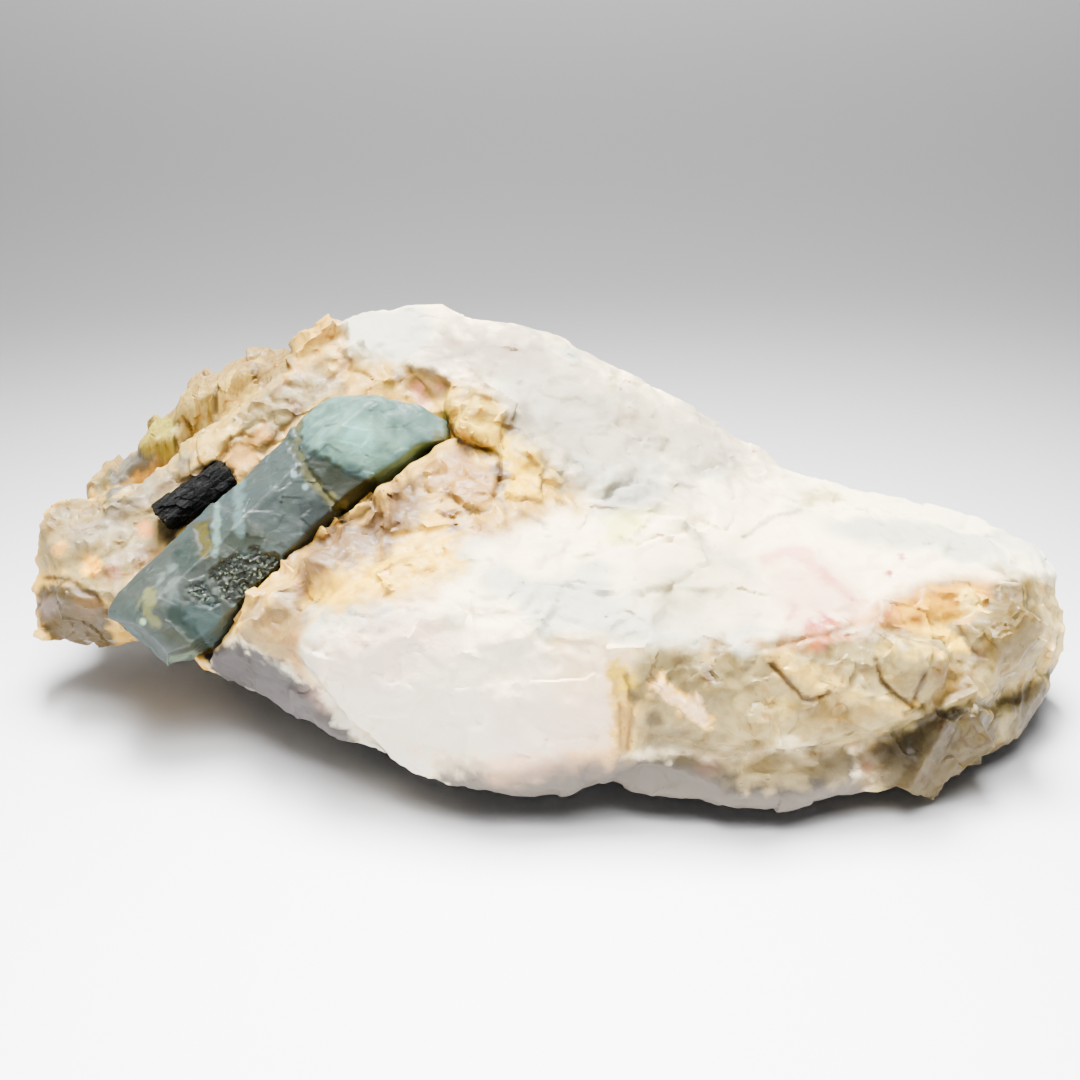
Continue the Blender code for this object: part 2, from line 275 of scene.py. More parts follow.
def segment_distance(pixels: Array, start: Pixel, end: Pixel) -> Array:
    """Measures how far pixels are from a straight line.

    Args:
        pixels: the pixels, one row each.
        start: where the line starts.
        end: where it ends.

    Returns:
        The distance of each, in pixels.
    """
    origin = np.array(start, float)
    run = np.array(end, float) - origin
    share = np.clip((pixels - origin) @ run / (run @ run + 1e-9), 0.0, 1.0)
    apart = pixels - origin - share[:, None] * run
    return np.sqrt(np.einsum("ij,ij->i", apart, apart))


def path_distance(pixels: Array, path: tuple[Pixel, ...]) -> Array:
    """Measures how far pixels are from a line of several stretches.

    Args:
        pixels: the pixels, one row each.
        path: the line's corners.

    Returns:
        The distance of each, in millimetres.
    """
    nearest = np.full(len(pixels), 1e9)
    for start, end in zip(path[:-1], path[1:]):
        nearest = np.minimum(nearest, segment_distance(pixels, start, end))
    return nearest / VIEW.scale()


def depth_inside(pixels: Array, outline: tuple[Pixel, ...]) -> Array:
    """Measures how far inside a closed outline pixels lie.

    Args:
        pixels: the pixels, one row each.
        outline: the outline's corners.

    Returns:
        The depth of each in millimetres, below 0 outside it.
    """
    closed = outline + outline[:1]
    inside = np.zeros(len(pixels), bool)
    for (x0, y0), (x1, y1) in zip(closed[:-1], closed[1:]):
        if y0 == y1:
            continue
        crossing = (y0 > pixels[:, 1]) != (y1 > pixels[:, 1])
        edge = x0 + (pixels[:, 1] - y0) * (x1 - x0) / (y1 - y0)
        inside ^= crossing & (pixels[:, 0] < edge)
    return np.where(inside, 1.0, -1.0) * path_distance(pixels, closed)


def linear(colour: Colour) -> Array:
    """A screen colour, 0 to 255, as linear light."""
    share = np.array(colour, float) / 255.0
    return np.where(share <= 0.04045, share / 12.92, ((share + 0.055) / 1.055) ** 2.4)


def light_behind(colour: Colour) -> Array:
    """The light that the render's view shows as a screen colour, 0 to 255."""
    shown = np.maximum(WIDE @ linear(colour), 1e-5) ** (1.0 / CURVE_POWER)
    level = np.clip(np.linalg.solve(PARTED, shown), CURVE_LOW, CURVE_TOP) ** CURVE_POWER
    mixed = CURVE_SCALE * (level + CURVE_LIFT) * (1.0 + CURVE_BEND * level) / (CURVE_TOP - level)
    return np.linalg.solve(WIDE, np.linalg.solve(MIXED, mixed))


def pigment(colour: Colour) -> Array:
    """The stone's own colour where the photo shows it as colour, in the studio's light."""
    return np.clip(light_behind(colour) / STUDIO_LIGHT, DARKEST, PALEST)


@dataclass(frozen=True)
class Lamp:
    """One soft square light, in metres, with its beam's angle in degrees and its power in watts."""

    place: tuple[float, float, float]
    aim: tuple[float, float, float]
    side: float
    beam: float
    power: float

    def light(self, points: Array, normals: Array) -> Array:
        """What a white surface would show of the lamp's light.

        Args:
            points: places on it, one row each.
            normals: the way it faces at each of them.

        Returns:
            The light at each point.
        """
        towards = np.array(self.place) / MM - points
        distance = np.linalg.norm(towards, axis=1)
        towards /= distance[:, None]
        axis = np.array(self.aim) - np.array(self.place)
        facing = np.clip(np.einsum("ij,ij->i", towards, normals), 0.0, 1.0)
        leaving = np.clip(-towards @ axis / np.linalg.norm(axis), 0.05, 1.0)
        half = math.radians(self.beam) / 2.0
        spread = np.clip(math.tan(half) - np.tan(np.arccos(leaving)), 0.0, None)
        spread *= LAMP_SHARE / (math.tan(half) - half)
        return self.power * facing * leaving * spread / (math.pi * distance * MM) ** 2


LAMPS = (
    Lamp((-0.02, 0.08, 0.45), (0.0, -0.14, 0.0), 0.25, 60.0, 4.3),
    Lamp((-0.02, -0.06, 0.50), (0.0, -0.06, 0.0), 0.30, 80.0, 1.3),
    Lamp((0.03, -0.20, 0.42), (0.0, -0.10, 0.0), 0.25, 60.0, 0.4),
    Lamp((0.0, 0.70, 0.50), (0.0, 0.60, 0.0), 0.5, 100.0, 1.6),
)


def light_on(points: Array, normals: Array) -> Array:
    """What a white surface would show, in the light of the sky, the lamps and the floor.

    Args:
        points: places on it, one row each.
        normals: the way it faces at each of them.

    Returns:
        The light at each point.
    """
    total = np.full(len(points), SKY_LIGHT)
    for lamp in LAMPS:
        total += lamp.light(points, normals)
    open_floor = SHADED_FLOOR + (1.0 - SHADED_FLOOR) * smooth_step(0.0, OPEN_HEIGHT, points[:, 2])
    return total + FLOOR_SHARE * FLOOR_LIGHT * (1.0 - normals[:, 2]) * open_floor


def colour_with_painted_light(wanted: Array, light: Array, shown: Array) -> Array:
    """A colour that the light falling on it turns into the wanted one, so light and shade are
    painted into it.

    Args:
        wanted: the light that each corner has to send on, one row each.
        light: the light that falls on it.
        shown: 1 where the photo shows the corner. The others take the studio's mean light.

    Returns:
        One colour for each corner, greyed where it would have to be paler than any stone.
    """
    # Painted light and shade: the wanted colours, which hold light and shade, divided by the
    # estimated light, so the colour is paler where that light is weak and darker where it is
    # strong.
    there = np.clip(light, DIMMEST, BRIGHTEST) * shown + STUDIO_LIGHT * (1.0 - shown)
    own = np.clip(wanted / there[:, None], DARKEST, None)
    most = own.max(axis=1)[:, None]
    reached = np.minimum(1.0, PALEST / most)
    return reached * (own + GREYED * (1.0 - reached) * (most - own))


@dataclass(frozen=True)
class Nudge:
    """A place of an outline that moves from one pixel to another, with what lies round it."""

    start: Pixel
    end: Pixel
    reach: float = 24.0


def nudged(points: Array, nudges: tuple[Nudge, ...]) -> Array:
    """Moves points across the line of sight.

    Args:
        points: places, one row each.
        nudges: the moves, each of which acts within its reach.

    Returns:
        The new places.
    """
    pixels = VIEW.pixels(points)
    ahead = VIEW.forward()
    upward = np.array((0.0, -ahead[2], ahead[1]))
    pull = np.zeros_like(points)
    total = np.zeros(len(points))
    for nudge in nudges:
        apart = segment_distance(pixels, nudge.start, nudge.start)
        weight = np.exp(-((apart / nudge.reach) ** 2))
        across, down = np.array(nudge.end) - np.array(nudge.start)
        pull += weight[:, None] * (across * np.array((1.0, 0.0, 0.0)) - down * upward)
        total += weight
    return points + pull / np.maximum(total, 1.0)[:, None] / VIEW.scale()


@dataclass(frozen=True)
class Patch:
    """An area with one colour, inside an outline on the photo."""

    colour: Colour
    outline: tuple[Pixel, ...]
    edge: float = 1.2
    ragged: float = 1.2
    strength: float = 1.0
    through: bool = False

    def share(self, pixels: Array, wobble: Array) -> Array:
        """How much of the patch each place takes, with an edge that wobble shifts."""
        depth = depth_inside(pixels, self.outline) + self.ragged * wobble
        return self.strength * smooth_step(-self.edge, self.edge, depth)


@dataclass(frozen=True)
class Spot:
    """A round area with one colour, fading out over its radius in millimetres."""

    colour: Colour
    middle: Pixel
    radius: float
    strength: float = 1.0
    through: bool = False

    def share(self, pixels: Array, wobble: Array) -> Array:
        """How much of the spot each place takes."""
        apart = segment_distance(pixels, self.middle, self.middle) / VIEW.scale()
        return self.strength * (1.0 - smooth_step(0.45, 1.0, apart / self.radius + 0.2 * wobble))


@dataclass(frozen=True)
class Seam:
    """A line with one colour, and a groove along it, from point to point of the photo."""

    colour: Colour
    path: tuple[Pixel, ...]
    width: float = 1.0
    depth: float = 0.0
    strength: float = 1.0
    through: bool = False

    def share(self, pixels: Array, wobble: Array) -> Array:
        """How much of the seam each place takes."""
        apart = path_distance(pixels, self.path) + 0.35 * self.width * wobble
        return self.strength * (1.0 - smooth_step(0.3, 1.0, apart / self.width))


@dataclass(frozen=True)
class Flake:
    """An area that stands proud by rise, or is sunk where rise is below 0."""

    outline: tuple[Pixel, ...]
    rise: float
    edge: float = 0.5

    def lift(self, pixels: Array, wobble: Array) -> Array:
        """How far each place is raised."""
        depth = depth_inside(pixels, self.outline) + 0.5 * wobble
        return self.rise * smooth_step(-self.edge, self.edge, depth)


# Meshes.


def select_only(piece: bpy.types.Object) -> None:
    """Selects piece alone and makes it active."""
    bpy.ops.object.select_all(action="DESELECT")
    piece.select_set(True)
    bpy.context.view_layer.objects.active = piece


def link_mesh(name: str, mesh: bpy.types.Mesh) -> bpy.types.Object:
    """A new object in the scene that shows mesh."""
    piece = bpy.data.objects.new(name, mesh)
    bpy.context.scene.collection.objects.link(piece)
    return piece


def merge_doubles(piece: bpy.types.Object) -> None:
    """Joins the loose triangles of a copied node to one skin.

    Args:
        piece: the copy.
    """
    select_only(piece)
    bpy.ops.object.mode_set(mode="EDIT")
    bpy.ops.mesh.select_all(action="SELECT")
    bpy.ops.mesh.remove_doubles(threshold=1e-6)
    bpy.ops.object.mode_set(mode="OBJECT")


def copy_node(node: str, name: str) -> bpy.types.Object:
    """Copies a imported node.

    Args:
        node: the node's name.
        name: the new piece's name.

    Returns:
        A piece with the same skin.
    """
    piece = link_mesh(name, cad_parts[node].data.copy())
    piece.data.materials.clear()
    merge_doubles(piece)
    return piece


def apply_modifier(piece: bpy.types.Object, kind: str, **settings: Any) -> None:
    """Adds a modifier to a piece and applies it.

    Args:
        piece: the piece.
        kind: the modifier's kind, as Blender names it.
        settings: its settings.
    """
    select_only(piece)
    modifier = piece.modifiers.new(kind.title(), kind)
    for name, value in settings.items():
        setattr(modifier, name, value)
    bpy.ops.object.modifier_apply(modifier=modifier.name)


def read_points(piece: bpy.types.Object) -> Array:
    """The corners of a piece's mesh, in millimetres."""
    values = np.empty(len(piece.data.vertices) * 3, np.float32)
    piece.data.vertices.foreach_get("co", values)
    return values.reshape(-1, 3).astype(float) / MM


def write_points(piece: bpy.types.Object, points: Array) -> None:
    """Moves the corners of a piece's mesh, given in millimetres."""
    piece.data.vertices.foreach_set("co", (points * MM).astype(np.float32).ravel())
    piece.data.update()


def read_normals(piece: bpy.types.Object) -> Array:
    """The unit normal at each corner of a piece's mesh."""
    values = np.empty(len(piece.data.vertices) * 3, np.float32)
    piece.data.vertices.foreach_get("normal", values)
    return values.reshape(-1, 3).astype(float)


def tree_of(*pieces: bpy.types.Object) -> BVHTree:
    """Makes a search tree over faces.

    Args:
        pieces: the pieces whose faces it holds.

    Returns:
        The tree, in metres.
    """
    corners: list[Vector] = []
    faces: list[list[int]] = []
    for piece in pieces:
        start = len(corners)
        corners += [vert.co.copy() for vert in piece.data.vertices]
        faces += [[start + index for index in face.vertices] for face in piece.data.polygons]
    return BVHTree.FromPolygons(corners, faces)


def store(piece: bpy.types.Object, name: str, values: Array) -> None:
    """Keeps a number or a colour for each corner of a piece, for its material.

    Args:
        piece: the piece.
        name: the name by which the material finds it.
        values: a number or a row of three for each corner.
    """
    if values.ndim == 1:
        attribute = piece.data.attributes.new(name, "FLOAT", "POINT")
        attribute.data.foreach_set("value", values.astype(np.float32))
        return
    attribute = piece.data.attributes.new(name, "FLOAT_COLOR", "POINT")
    full = np.concatenate((values, np.ones((len(values), 1))), axis=1)
    attribute.data.foreach_set("color", full.astype(np.float32).ravel())


def thin_out(piece: bpy.types.Object, triangles: int) -> None:
    """Brings a piece down to a number of triangles, where it is flattest first."""
    now = sum(len(face.vertices) - 2 for face in piece.data.polygons)
    apply_modifier(piece, "DECIMATE", ratio=min(1.0, triangles / now))


def crevice_depth(piece: bpy.types.Object, passes: int) -> Array:
    """Measures how deep corners lie below the skin's smoothed form.

    Args:
        piece: the piece.
        passes: how often its form is smoothed.

    Returns:
        The depth of each corner, in millimetres.
    """
    points = read_points(piece)
    normals = read_normals(piece)
    softened = link_mesh("softened", piece.data.copy())
    apply_modifier(softened, "SMOOTH", factor=0.5, iterations=passes)
    below = np.einsum("ij,ij->i", read_points(softened) - points, normals)
    bpy.data.objects.remove(softened)
    return below


def soft_normals(piece: bpy.types.Object, passes: int) -> Array:
    """Finds which way the skin's smoothed form faces.

    Args:
        piece: the piece.
        passes: how often its form is smoothed.

    Returns:
        The unit normal at each corner.
    """
    softened = link_mesh("softened", piece.data.copy())
    apply_modifier(softened, "SMOOTH", factor=0.5, iterations=passes)
    normals = read_normals(softened)
    bpy.data.objects.remove(softened)
    return normals


def keep_off(points: Array, tree: BVHTree, gap: float, reach: float) -> Array:
    """Keeps a skin's corners off a crystal, and draws those near it up to its sides.

    Args:
        points: the corners, in millimetres.
        tree: the crystal's faces.
        gap: how near the corners may come.
        reach: how far from the crystal they are still drawn in.

    Returns:
        The corners' new places.
    """
    moved = points.copy()
    for index, point in enumerate(points):
        place, normal, _, apart = tree.find_nearest(Vector(point * MM), reach * MM)
        if place is None:
            continue
        away = Vector(point * MM) - place
        side = away.dot(normal) / MM
        if side < gap:
            moved[index] = np.array(place / MM) + np.array(normal) * gap
            continue
        wanted = gap + (apart / MM - gap) * (0.35 + 0.65 * apart / MM / reach)
        moved[index] = np.array(place / MM) + np.array(away.normalized()) * wanted
    return moved


def paint(pixels: Array, shown: Array, wobble: Array, base: Array, layers: tuple) -> Array:
    """Lays coloured areas over a base colour, one after another.

    Args:
        pixels: the photo's pixel for each corner.
        shown: 1 where the photo shows the corner.
        wobble: noise that makes the areas' edges ragged.
        base: the colour under them, one row for each corner.
        layers: patches, spots and seams, from the lowest to the uppermost.

    Returns:
        The light that the photo shows at each corner.
    """
    colours = base.copy()
    for layer in layers:
        share = layer.share(pixels, wobble)
        if not layer.through:
            share = share * shown
        colours += share[:, None] * (light_behind(layer.colour) - colours)
    return colours


# Shader nodes.


class Socket:
    """A node's output, which adds Math nodes when it is used in an expression."""

    def __init__(self, graph: Graph, link: bpy.types.NodeSocket) -> None:
        """Wraps one output socket of a graph."""
        self.graph = graph
        self.link = link

    def maths(self, operation: str, *values: Any) -> Socket:
        """The result of a Math node on this socket and further values."""
        inputs = dict(enumerate((self, *values)))
        return self.graph.node("ShaderNodeMath", {"operation": operation}, inputs)

    def __add__(self, other: Any) -> Socket:
        """Sum."""
        return self.maths("ADD", other)

    def __radd__(self, other: Any) -> Socket:
        """Sum, from the right."""
        return self.maths("ADD", other)

    def __sub__(self, other: Any) -> Socket:
        """Difference."""
        return self.maths("SUBTRACT", other)

    def __rsub__(self, other: float) -> Socket:
        """A number less this socket."""
        return (self * -1.0) + other

    def __mul__(self, other: Any) -> Socket:
        """Product."""
        return self.maths("MULTIPLY", other)

    def __rmul__(self, other: Any) -> Socket:
        """Product, from the right."""
        return self.maths("MULTIPLY", other)

    def ramp(self, low: float, high: float) -> Socket:
        """Rises smoothly from 0 where this socket is low to 1 where it is high."""
        settings = {"interpolation_type": "SMOOTHSTEP"}
        inputs = {"Value": self, "From Min": low, "From Max": high}
        return self.graph.node("ShaderNodeMapRange", settings, inputs)


class Graph:
    """The node graph of one material."""

    def __init__(self, name: str) -> None:
        """Starts a material with no nodes but its output."""
        self.material = bpy.data.materials.new(name)
        self.material.use_nodes = True
        self.tree = self.material.node_tree
        self.tree.nodes.clear()
        self.coordinates = self.node("ShaderNodeTexCoord", {}, {}, "Object")

    def node(self, kind: str, settings: dict, inputs: dict, output: Any = 0) -> Socket:
        """Adds one node.

        Args:
            kind: the node's type.
            settings: its properties, which are set before its inputs.
            inputs: a value or a Socket for each input, by name or number.
            output: the output that is wanted, by name or number.

        Returns:
            That output.
        """
        made = self.tree.nodes.new(kind)
        for name, value in settings.items():
            setattr(made, name, value)
        for name, value in inputs.items():
            if isinstance(value, Socket):
                self.tree.links.new(value.link, made.inputs[name])
            else:
                made.inputs[name].default_value = value
        return Socket(self, made.outputs[output])

    def attribute(self, name: str, colour: bool = False) -> Socket:
        """A number or a colour that the mesh holds."""
        return self.node(
            "ShaderNodeAttribute", {"attribute_name": name}, {}, "Color" if colour else "Fac"
        )

    def stretched(self, turn: tuple[float, float, float], scale: tuple) -> Socket:
        """Object coordinates, turned and stretched by a Mapping node."""
        inputs = {"Vector": self.coordinates, "Rotation": turn, "Scale": scale}
        return self.node("ShaderNodeMapping", {"vector_type": "TEXTURE"}, inputs)

    def noise(self, size: float, detail: float = 2.0, place: Socket | None = None) -> Socket:
        """Noise that changes over size, in millimetres."""
        inputs = {"Vector": place or self.coordinates, "Scale": 1.0 / (size * MM), "Detail": detail}
        return self.node("ShaderNodeTexNoise", {}, inputs, 0)

    def grains(self, size: float, feature: str, output: str, place: Socket | None = None) -> Socket:
        """One output of a Voronoi texture with grains of a size, in millimetres."""
        inputs = {"Vector": place or self.coordinates, "Scale": 1.0 / (size * MM)}
        return self.node("ShaderNodeTexVoronoi", {"feature": feature}, inputs, output)

    def mix(self, share: Any, first: Any, second: Any, blend: str = "MIX") -> Socket:
        """Mixes two colours."""
        settings = {"data_type": "RGBA", "blend_type": blend, "clamp_factor": True}
        inputs = {0: share, 6: self.solid(first), 7: self.solid(second)}
        return self.node("ShaderNodeMix", settings, inputs, 2)

    @staticmethod
    def solid(colour: Any) -> Any:
        """A socket as it is, or a colour of the photo as a pigment."""
        return colour if isinstance(colour, Socket) else (*pigment(colour), 1.0)

    def brightened(self, colour: Socket, share: Socket) -> Socket:
        """A colour times a number."""
        inputs = {0: colour, "Scale": share}
        return self.node("ShaderNodeVectorMath", {"operation": "SCALE"}, inputs)

    def warped(self, size: float, amount: float) -> Socket:
        """Object coordinates shifted by noise of a size, by an amount, both in millimetres."""
        noise = self.node(
            "ShaderNodeTexNoise", {},
            {"Vector": self.coordinates, "Scale": 1.0 / (size * MM), "Detail": 1.0}, "Color",
        )
        return self.node(
            "ShaderNodeVectorMath", {"operation": "MULTIPLY_ADD"},
            {0: noise, 1: (amount * MM,) * 3, 2: self.coordinates},
        )

    def tinted(self, colour: Socket, share: Socket, by: Colour) -> Socket:
        """A colour, and as far as share goes the same times another one."""
        inputs = {0: colour, 1: by}
        times = self.node("ShaderNodeVectorMath", {"operation": "MULTIPLY"}, inputs)
        return self.mix(share, colour, times)

    def bump(self, height: Socket, distance: float, strength: float) -> Socket:
        """A normal bent by height, whose full step is distance, in millimetres."""
        inputs = {"Height": height, "Distance": distance * MM, "Strength": strength}
        return self.node("ShaderNodeBump", {}, inputs)

    def finish(self, sockets: dict) -> bpy.types.Material:
        """Ends the graph with a Principled shader that takes the given sockets."""
        shader = self.node("ShaderNodeBsdfPrincipled", {}, sockets)
        output = self.tree.nodes.new("ShaderNodeOutputMaterial")
        self.tree.links.new(shader.link, output.inputs["Surface"])
        return self.material


def dress(piece: bpy.types.Object, material: bpy.types.Material, node: str) -> None:
    """Finishes a piece.

    Args:
        piece: the piece.
        material: its one material.
        node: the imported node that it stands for.
    """
    piece.data.materials.clear()
    piece.data.materials.append(material)
    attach(piece, BODY)
    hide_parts(node)


# The rock.

WHITE = (241, 238, 232)
COOL = (229, 228, 223)
UNDERSIDE = (228, 225, 221)
# Painted shade: a dark grey for hidden undersides close to the floor.
PAINTED_SHADE_UNDERSIDE = (140, 134, 128)
CREAM = (234, 218, 180)
YELLOW_CREAM = (241, 228, 186)
BEIGE = (220, 205, 174)
OLIVE_TAN = (212, 199, 168)
GOLD = (214, 194, 154)
BROWN = (150, 108, 64)
DARK_BROWN = (92, 64, 42)


@dataclass(frozen=True)
class Zone:
    """A stretch of the rock that is feldspar, inside an outline on the photo."""

    colour: Colour
    outline: tuple[Pixel, ...]
    blend: float = 2.0
    ragged: float = 1.8

    def share(self, pixels: Array, wobble: Array) -> Array:
        """How much of each place is feldspar, with an edge that wobble shifts."""
        depth = depth_inside(pixels, self.outline) + self.ragged * wobble
        return smooth_step(-self.blend, self.blend, depth)


FELDSPAR_ZONES = (
    Zone(CREAM, ((-40, 760), (-40, 440), (60, 480), (110, 440), (170, 400), (204, 375), (262, 335),
         (318, 300), (352, 330), (349, 352), (378, 353), (405, 361), (436, 371), (465, 383),
         (485, 391), (504, 407), (519, 432), (538, 446), (553, 461), (565, 478), (577, 508),
         (553, 502), (540, 517), (526, 524), (509, 536), (490, 538), (465, 543), (458, 552),
         (462, 563), (451, 582), (427, 587), (405, 592), (379, 598), (350, 601), (325, 612),
         (308, 618), (301, 634), (304, 660), (316, 690), (299, 677), (272, 663), (258, 652),
         (238, 641), (215, 650), (200, 760))),
    Zone(OLIVE_TAN, ((631, 656), (669, 649), (716, 646), (746, 642), (776, 636), (799, 632),
         (819, 629), (845, 626), (865, 613), (892, 592), (912, 583), (958, 577), (1031, 578),
         (1120, 590), (1120, 860), (900, 860), (872, 800), (858, 762), (790, 750), (740, 754),
         (693, 757), (659, 749), (631, 752), (614, 757), (606, 700), (612, 660))),
)

